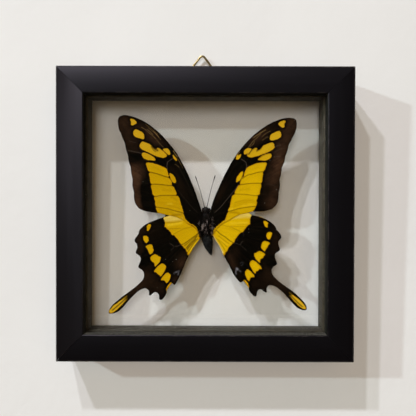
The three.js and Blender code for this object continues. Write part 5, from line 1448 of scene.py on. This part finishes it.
def build_hanger():
    brass = metal_material("hanger_brass", lin(214, 186, 128), lin(120, 92, 52), 0.20, 0.36, (300, 300, 60), 0.75)
    ob = bevelled("hanger_strap", "hanger_strap_finish", "frame", brass, lambda e: (0.10 * MM, 2) if e.calc_face_angle(0) > 1.0 else None)
    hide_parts("hanger_strap")

    # screw: turned head with a cross recess, and a plain shank with a thread
    x0, z0, head = -1.75, 122.1 - CZ, 23.7
    verts, faces = [], []
    sides, rings = 64, 22
    profile = [(0.0, 1.15), (1.0, 1.11), (1.6, 0.86), (1.95, 0.45), (2.05, 0.14), (2.0, 0.0), (0.92, 0.0)]
    prof = []
    for i in range(rings):
        r = 1.95 * i / rings
        h = np.interp(r, [p[0] for p in profile[:4]], [p[1] for p in profile[:4]])
        prof.append((r, h))
    prof += profile[3:]
    depth = -0.3
    while depth > -7.4:
        prof += [(0.92, depth), (0.70, depth - 0.25), (0.92, depth - 0.5)]
        depth -= 0.75
    prof += [(0.55, -8.1), (0.0, -8.6)]
    for i, (r, h) in enumerate(prof):
        for k in range(sides):
            a = 2 * math.pi * k / sides
            dx, dz = r * math.cos(a), r * math.sin(a)
            hh = h
            if i < rings:
                inx = smoothstep(np.array(1.18 - abs(dx)), 0, 0.10) * smoothstep(np.array(0.25 - abs(dz)), 0, 0.08)
                inz = smoothstep(np.array(1.18 - abs(dz)), 0, 0.10) * smoothstep(np.array(0.25 - abs(dx)), 0, 0.08)
                hh = h - 0.55 * float(max(inx, inz))
            verts.append(at(x0 + dx, head + hh, z0 + dz))
    for i in range(len(prof) - 1):
        for k in range(sides):
            k2 = (k + 1) % sides
            faces.append((i * sides + k, (i + 1) * sides + k, (i + 1) * sides + k2, i * sides + k2))
    bm = bmesh.new()
    vs = [bm.verts.new(v) for v in verts]
    for f in faces:
        bm.faces.new([vs[i] for i in f])
    bmesh.ops.remove_doubles(bm, verts=bm.verts, dist=1e-7)
    bmesh.ops.dissolve_degenerate(bm, edges=bm.edges, dist=1e-8)
    ob = from_bmesh("hanger_screw_finish", "frame", bm, brass)
    for p in ob.data.polygons:
        p.use_smooth = True
    ob.data.set_sharp_from_angle(angle=math.radians(40))
    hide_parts("hanger_screw")

    # ring: drawn wire bent to a triangle
    half, base, apex, rt = 10.6, 126.1 - CZ, 139.84 - 0.52 + 0.85 - CZ - 0.74, 23.67
    apex = 128.8 / 2 + 75.55 - 0.52 + 0.85 - CZ
    A, B, C = (np.array(p) for p in ((x0 - half, base), (x0 + half, base), (x0, apex)))
    corners = [(A, 2.2), (B, 2.2), (C, 2.4)]
    ends = []
    for i, (p, cut) in enumerate(corners):
        prev, nxt = corners[(i + 2) % 3][0], corners[(i + 1) % 3][0]
        ends.append((p + (prev - p) / np.linalg.norm(prev - p) * cut, p, p + (nxt - p) / np.linalg.norm(nxt - p) * cut))
    line = []
    for i in range(3):
        e, f = ends[i], ends[(i + 1) % 3]
        for k in range(14):
            s = k / 14
            line.append((1 - s) ** 2 * e[0] + 2 * s * (1 - s) * e[1] + s * s * e[2])
        for k in range(16):
            line.append(e[2] + (f[0] - e[2]) * k / 16)
    pts = [at(q[0], rt, q[1]) for q in line]
    v, f = tube_rings(pts, 0.52 * MM, 20, closed=True, flat=(0, 1, 0))
    ring = piece("hanger_ring_finish", "hanger_ring", v, f, brass)
    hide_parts("hanger_ring")


# ---------------------------------------------------------------- butterfly body
BODY = np.array([
    [3.15, 0.20, 10.4, 0.45, 0.5], [2.75, 0.20, 10.4, 1.15, 1.1], [1.9, 0.20, 10.4, 1.55, 1.5], [1.0, 0.20, 10.5, 1.4, 1.5],
    [0.4, 0.22, 10.7, 1.25, 1.5], [-0.4, 0.24, 11.0, 1.9, 2.3], [-1.6, 0.26, 11.3, 2.55, 3.0], [-3.2, 0.28, 11.5, 2.9, 3.35],
    [-5.0, 0.30, 11.6, 2.95, 3.4], [-6.8, 0.32, 11.6, 2.7, 3.15], [-8.2, 0.36, 11.6, 2.3, 2.65], [-9.3, 0.42, 11.7, 2.35, 2.35],
    [-10.8, 0.62, 11.9, 2.5, 2.4], [-12.4, 0.95, 12.1, 2.45, 2.35], [-14.0, 1.25, 12.4, 2.15, 2.1], [-15.6, 1.60, 12.7, 1.75, 1.75],
    [-17.1, 2.05, 13.0, 1.15, 1.25], [-18.3, 2.50, 13.2, 0.6, 0.7], [-19.0, 2.72, 13.3, 0.25, 0.3]])
BODY_LINE = catmull(BODY, count=220)


def body_at(zc):
    """x, t, half width and half depth of the body at a height."""
    z = BODY_LINE[::-1, 0]
    return [np.interp(zc, z, BODY_LINE[::-1, k]) for k in (1, 2, 3, 4)]


def body_point(zc, a, grow=0.0):
    x, t, rx, rt = body_at(zc)
    return np.array([x + (rx + grow) * math.cos(a), t + (rt + grow) * math.sin(a), zc])


def body_material():
    M = Mat("body_cuticle")
    obj = M.coord("Object")
    zc = M.math("SUBTRACT", M.math("MULTIPLY", M.sep(obj)[2], 1000.0), CZ)
    fine = M.noise(obj, 3600.0, 3.0, 0.6)
    mid = M.noise(obj, 700.0, 3.0, 0.55)
    bands = M.attr("band")
    abdomen = M.rng(zc, -9.6, -8.8, 1.0, 0.0)
    belly = M.mix(M.rng(mid, 0.35, 0.65), lin(17, 18, 17), lin(33, 34, 33))
    belly = M.mix(M.math("MULTIPLY", bands, 0.7), belly, lin(9, 9, 9))
    belly = M.mix(M.rng(fine, 0.58, 0.82, 0.0, 0.4), belly, lin(66, 67, 66))
    chest = M.mix(M.rng(mid, 0.3, 0.7), lin(9, 7, 5), lin(24, 18, 13))
    colour = M.mix(abdomen, chest, belly)
    b = M.surface(Base_Color=colour, Roughness=M.rng(mid, 0.3, 0.7, 0.45, 0.62, smooth=False),
                  Normal=M.bump(fine, 0.5, 0.00005))
    b.inputs["Specular IOR Level"].default_value = 0.12
    return M.m


def eye_material():
    M = Mat("eye_facets")
    obj = M.coord("Object")
    cells = M.voronoi(obj, 9000.0)
    colour = M.mix(M.rng(cells, 0.2, 0.6), lin(38, 24, 16), lin(14, 9, 7))
    M.surface(Base_Color=colour, Roughness=0.13, Normal=M.bump(cells, 0.3, 0.00002))
    return M.m


def limb_material():
    M = Mat("limb_cuticle")
    obj = M.coord("Object")
    mottled = M.noise(obj, 2500.0, 3.0, 0.6)
    b = M.surface(Base_Color=M.mix(mottled, lin(22, 16, 11), lin(58, 44, 31)), Roughness=0.5,
                  Normal=M.bump(mottled, 0.3, 0.00002))
    b.inputs["Specular IOR Level"].default_value = 0.4
    return M.m


def fur_material():
    M = Mat("body_hair")
    tone = M.attr("tone")
    warm = M.attr("warm")
    shade = M.attr("root")
    dark = M.mix(warm, lin(5, 4, 3), lin(22, 13, 7))
    light = M.mix(warm, lin(244, 224, 216), lin(236, 172, 120))
    colour = M.mix(tone, dark, light)
    # painted shade: each hair darkens towards its root, where the coat shades it
    colour = M.mix(M.math("MULTIPLY", M.math("SUBTRACT", 1.0, shade), 0.6), colour, lin(12, 9, 7))
    b = M.surface(Base_Color=colour, Roughness=0.5)
    b.inputs["Specular IOR Level"].default_value = 0.03
    return M.m


def blob(centre, radii, nu=24, nv=16):
    verts, faces = [], []
    for j in range(nv + 1):
        p = math.pi * j / nv
        for i in range(nu):
            a = 2 * math.pi * i / nu
            verts.append((centre[0] + radii[0] * math.sin(p) * math.cos(a), centre[1] + radii[1] * math.sin(p) * math.sin(a),
                          centre[2] + radii[2] * math.cos(p)))
    for j in range(nv):
        for i in range(nu):
            i2 = (i + 1) % nu
            f = [j * nu + i, (j + 1) * nu + i, (j + 1) * nu + i2, j * nu + i2]
            if j == 0:
                f = [f[0], f[1], f[2]]
            elif j == nv - 1:
                f = [f[0], f[1], f[3]]
            faces.append(tuple(f))
    return verts, faces


def build_body():
    mats = [body_material(), eye_material(), limb_material()]
    verts, faces, index, band = [], [], [], []
    # head, thorax and abdomen in one skin; the abdomen has its rings
    stations = np.interp(np.linspace(0, 1, 190), np.linspace(0, 1, len(BODY_LINE)), BODY_LINE[:, 0])
    sides = 44
    for zc in stations:
        grow, groove = 0.0, 0.0
        if zc < -9.6:
            f = ((-9.6 - zc) / 1.32) % 1.0
            groove = math.exp(-((min(f, 1 - f)) / 0.11) ** 2)
            grow = -0.13 * groove + 0.03
        for k in range(sides):
            a = 2 * math.pi * k / sides
            bump = 0.03 * math.sin(5 * a + zc * 2.1) + 0.02 * math.sin(9 * a - zc * 3.7)
            x, t, z = body_point(zc, a, grow + bump * (1 if zc > -9 else 0.5))
            verts.append(at(x, t, z))
            band.append(groove)
    n = len(stations)
    for i in range(n - 1):
        for k in range(sides):
            k2 = (k + 1) % sides
            faces.append((i * sides + k, i * sides + k2, (i + 1) * sides + k2, (i + 1) * sides + k))
    for i in (0, n - 1):
        c = len(verts)
        x, t, rx, rt = body_at(stations[i])
        verts.append(at(x, t, stations[i]))
        band.append(0)
        for k in range(sides):
            f = (c, i * sides + k, i * sides + (k + 1) % sides)
            faces.append(f[::-1] if i == 0 else f)
    index += [0] * len(faces)

    def extend(v, f, mat):
        o = len(verts)
        verts.extend(at(*p) for p in v)
        faces.extend(tuple(i + o for i in face) for face in f)
        index.extend([mat] * len(f))
        band.extend([0] * len(v))

    for s in (-1, 1):
        v, f = blob((0.36 + s * 1.40, 10.15, 1.80), (0.64, 0.92, 0.98))
        extend(v, f, 1)
        # palps, side by side in front of the face
        line = catmull([(0.2 + s * 0.34, 10.9, 1.6), (0.2 + s * 0.44, 10.6, 2.6), (0.2 + s * 0.30, 10.1, 3.25)], count=9)
        v, f = tube_rings(line, np.interp(np.linspace(0, 1, 9), [0, 0.4, 1], [0.26, 0.34, 0.10]), 12)
        extend(v, f, 0)
    # legs folded under the thorax
    for s in (-1, 1):
        for leg in (
            [(1.0, 13.4, -1.0), (2.5, 14.8, -2.6), (2.45, 15.0, -6.4), (1.9, 15.1, -8.0), (1.6, 15.0, -9.2)],
            [(2.2, 13.5, -3.0), (3.5, 14.8, -5.0), (3.0, 15.2, -8.6), (2.4, 15.3, -10.2), (1.9, 15.2, -11.4)],
            [(1.9, 13.6, -7.0), (2.9, 14.8, -8.3), (2.3, 15.1, -10.8), (1.5, 15.1, -12.6), (1.3, 15.0, -13.8)],
        ):
            pts = [(0.3 + s * x + (0.35 if z < -10 else 0.0), t, z) for x, t, z in leg]
            fem = np.linspace(pts[0], pts[1], 7)
            tib = np.linspace(pts[1], pts[2], 9)
            tar = catmull(pts[2:], count=13)
            v, f = tube_rings(fem, np.interp(np.linspace(0, 1, 7), [0, 0.4, 1], [0.26, 0.25, 0.16]), 10)
            extend(v, f, 2)
            v, f = tube_rings(tib, np.interp(np.linspace(0, 1, 9), [0, 0.2, 1], [0.17, 0.15, 0.12]), 10)
            extend(v, f, 2)
            rad = [0.10 + 0.025 * (i % 3 == 0) for i in range(13)]
            v, f = tube_rings(tar, rad, 8)
            extend(v, f, 2)
    ob = piece("butterfly_body_skin", "frame", verts, faces, mats, True, {"band": band}, index)
    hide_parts("butterfly_body")

    # antennae: a fine shaft and a club
    limb = mats[2]
    for name, a, b, bow in (("left", (-0.42, 9.7, 3.15), (-4.54, 8.7, 17.04), 0.25), ("right", (0.72, 9.7, 3.15), (4.40, 8.7, 17.42), -0.20)):
        a, b = np.array(a), np.array(b)
        mid = (a + b) / 2 + np.array([bow, 0.05, 0])
        line = catmull([a, mid, b], count=60)
        s = np.linspace(0, 1, 60)
        rad = np.interp(s, [0, 0.03, 0.08, 0.80, 0.90, 0.96, 1.0], [0.20, 0.17, 0.13, 0.12, 0.21, 0.24, 0.10])
        rad = rad * (1 + 0.05 * np.sin(s * 60 * math.pi))
        v, f = tube_rings(line, rad, 12)
        ob = piece("antenna_%s_fine" % name, "frame", [at(*p) for p in v], f, limb)
        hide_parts("antenna_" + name)

    build_fur()


# Tufts of hair of a lighter or warmer colour on the thorax: x, height, radius, tone, warmth.
TUFTS = [
    (-1.20, -5.8, 0.85, 0.80, 0.25), (-0.60, -4.6, 0.45, 0.55, 0.15), (0.05, -4.9, 0.40, 0.62, 0.00), (0.30, -6.9, 0.50, 0.45, 0.15),
    (0.80, -3.3, 0.42, 0.75, 0.00), (2.80, -2.1, 0.50, 0.62, 0.45), (2.20, -5.4, 0.70, 0.48, 0.60), (2.60, -4.3, 0.45, 0.45, 0.15),
    (3.50, -6.6, 0.50, 0.70, 0.20), (2.90, -6.2, 0.40, 0.60, 0.10), (-1.10, -10.0, 0.45, 0.75, 0.95), (-0.30, 1.5, 0.35, 0.50, 0.10),
    (0.95, 1.7, 0.32, 0.45, 0.10), (-2.60, -4.0, 0.40, 0.42, 0.05), (-0.2, -8.0, 0.40, 0.35, 0.30), (0.9, -7.9, 0.35, 0.45, 0.10),
    (2.7, -8.3, 0.55, 0.50, 0.65), (-2.2, -9.0, 0.45, 0.35, 0.90), (1.0, -11.0, 0.35, 0.55, 0.0),
]


def build_fur():
    rng = np.random.default_rng(11)
    roots, dirs, lengths, widths, tones, warms = [], [], [], [], [], []

    def grow(count, z0, z1, arc, length, lay, where=None):
        made = 0
        while made < count:
            zc = rng.uniform(z0, z1)
            a = rng.uniform(*arc)
            p = body_point(zc, a, -0.05)
            q = body_point(zc - 0.05, a, -0.05)
            x, t, rx, rt = body_at(zc)
            normal = np.array([math.cos(a) / rx, math.sin(a) / rt, 0.0])
            normal /= np.linalg.norm(normal)
            along = q - p
            along /= np.linalg.norm(along)
            d = normal * rng.uniform(0.35, 0.95) + along * lay * rng.uniform(0.6, 1.3) + rng.normal(0, 0.22, 3)
            d /= np.linalg.norm(d)
            tone, warm = (rng.uniform(0.05, 0.35) if rng.random() < 0.035 else abs(rng.normal(0.0, 0.005))), rng.uniform(0.0, 0.6)
            for cx, cz, r, tn, wm in TUFTS:
                g = math.exp(-(((p[0] + 0.3 * d[0] - cx) / (0.62 * r)) ** 2 + ((p[2] + 0.5 * d[2] - cz) / (1.45 * r)) ** 2))
                if g > 0.22 and rng.random() < g:
                    tone, warm = min(1.0, tn * rng.uniform(0.6, 1.7)), min(1, max(0, wm + rng.normal(0, 0.12)))
            roots.append(p)
            dirs.append(d)
            lengths.append(length * rng.uniform(0.55, 1.25))
            widths.append(rng.uniform(0.020, 0.040))
            tones.append(min(1.0, tone))
            warms.append(warm)
            made += 1

    full = (0, 2 * math.pi)
    grow(4200, -9.4, 0.2, full, 0.95, 1.0)
    grow(2600, -8.8, -0.6, (math.pi, 2 * math.pi), 1.15, 1.0)
    grow(420, 0.2, 1.3, full, 0.55, -0.3)
    # the collar, which closes the gaps between the neck and the wings
    for a in (0.0, math.pi):
        grow(620, -1.8, 0.7, (a - 0.7, a + 0.7), 1.35, -0.55)
    grow(420, -12.5, -9.2, full, 0.5, 1.6)
    # hair at the roots of the wings, lying over them
    for sx in (-1, 1):
        for _ in range(520):
            s = rng.uniform(0, 1)
            zc = -9.0 + 8.0 * s
            x, t, rx, rt = body_at(zc)
            out = abs(rng.normal(0, 0.55))
            p = np.array([x + sx * (rx - 0.5 + out), 8.45 + 0.25 * out + rng.uniform(-0.1, 0.5), zc + rng.normal(0, 0.35)])
            d = np.array([sx * rng.uniform(0.25, 1.1), -rng.uniform(0.0, 0.30), rng.normal(-0.35, 0.55)])
            d /= np.linalg.norm(d)
            tone, warm = abs(rng.normal(0.0, 0.006)), rng.uniform(0, 0.8)
            if rng.random() < 0.05:
                tone = rng.uniform(0.1, 0.4)
            for cx, cz, r, tn, wm in TUFTS:
                g = math.exp(-(((p[0] - cx) / (0.8 * r)) ** 2 + ((p[2] - cz) / (1.2 * r)) ** 2))
                if g > 0.22 and rng.random() < g:
                    tone, warm = min(1.0, tn * rng.uniform(0.6, 1.7)), min(1, max(0, wm + rng.normal(0, 0.12)))
            roots.append(p)
            dirs.append(d)
            lengths.append(rng.uniform(0.5, 1.7) * (1.0 - 0.25 * min(out, 2)))
            widths.append(rng.uniform(0.016, 0.030))
            tones.append(min(1.0, tone))
            warms.append(warm)

    verts, faces, tone_a, warm_a, root_a = [], [], [], [], []
    for p, d, L, w, tn, wm in zip(roots, dirs, lengths, widths, tones, warms):
        u = np.cross(d, [0.3, 0.1, 1.0])
        u /= np.linalg.norm(u)
        v = np.cross(d, u)
        bend = np.array([0, 0, -0.22]) + rng.normal(0, 0.08, 3)
        o = len(verts)
        for j, s in enumerate((0.0, 0.4, 0.75)):
            c = p + d * L * s + bend * L * s * s
            r = w * (1.0, 0.85, 0.5)[j]
            for k in range(3):
                a = 2 * math.pi * k / 3
                verts.append(at(*(c + r * (math.cos(a) * u + math.sin(a) * v))))
                root_a.append(s)
        verts.append(at(*(p + d * L + bend * L)))
        root_a.append(1.0)
        tone_a += [tn] * 10
        warm_a += [wm] * 10
        for j in range(2):
            for k in range(3):
                k2 = (k + 1) % 3
                faces.append((o + 3 * j + k, o + 3 * j + k2, o + 3 * j + 3 + k2, o + 3 * j + 3 + k))
        for k in range(3):
            faces.append((o + 6 + k, o + 6 + (k + 1) % 3, o + 9))
        faces.append((o + 2, o + 1, o))
    piece("butterfly_hair", "frame", verts, faces, fur_material(), True,
          {"tone": tone_a, "warm": warm_a, "root": root_a})


def build_glue():
    # a dab of clear glue, its foot on the back pane and its top round the underside of the thorax
    foot, cx, cz = 17.2, 0.3, -4.6
    profile = [(0.0, 0.0), (1.5, 0.0), (2.45, 0.0), (2.68, 0.06), (2.75, 0.22), (2.62, 0.5), (2.3, 0.9), (2.0, 1.35), (1.8, 1.9), (1.66, 2.4), (1.58, 2.8)]
    sides = 48
    verts, faces = [], []
    for r, h in profile:
        for k in range(sides):
            a = 2 * math.pi * k / sides
            wob = 1 + 0.04 * math.sin(3 * a + 0.6) + 0.02 * math.sin(5 * a)
            x, z = cx + r * wob * math.cos(a), cz + r * wob * math.sin(a)
            bx, bt, rx, rt = body_at(z)
            under = bt + rt * math.sqrt(max(0.0, 1 - ((x - bx) / rx) ** 2)) + 0.05
            verts.append(at(x, max(foot - h, under) if h > 1.0 else foot - h, z))
    for i in range(len(profile) - 1):
        for k in range(sides):
            k2 = (k + 1) % sides
            faces.append((i * sides + k, i * sides + k2, (i + 1) * sides + k2, (i + 1) * sides + k))
    last = (len(profile) - 1) * sides
    for j, r in enumerate((1.1, 0.6, 0.0)):
        for k in range(sides):
            a = 2 * math.pi * k / sides
            x, z = cx + r * math.cos(a), cz + r * math.sin(a)
            bx, bt, rx, rt = body_at(z)
            under = bt + rt * math.sqrt(max(0.0, 1 - ((x - bx) / rx) ** 2)) + 0.05
            verts.append(at(x, under, z))
        for k in range(sides):
            k2 = (k + 1) % sides
            a0 = last + j * sides
            faces.append((a0 + k, a0 + k2, a0 + sides + k2, a0 + sides + k))
    bm = bmesh.new()
    vs = [bm.verts.new(v) for v in verts]
    for f in faces:
        bm.faces.new([vs[i] for i in f])
    bmesh.ops.remove_doubles(bm, verts=bm.verts, dist=1e-7)
    bmesh.ops.dissolve_degenerate(bm, edges=bm.edges, dist=1e-8)
    ob = from_bmesh("glue_dab_clear", "frame", bm, glue_material())
    for p in ob.data.polygons:
        p.use_smooth = True
    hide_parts("glue_dab")


camera()
stage()
build_frame()
build_hanger()
upper, under = wing_material("wing_upper", True), wing_material("wing_under", False)
for wing in ("forewing_left", "forewing_right", "hindwing_left", "hindwing_right"):
    wing_mesh(wing, [upper, under])
build_body()
build_glue()
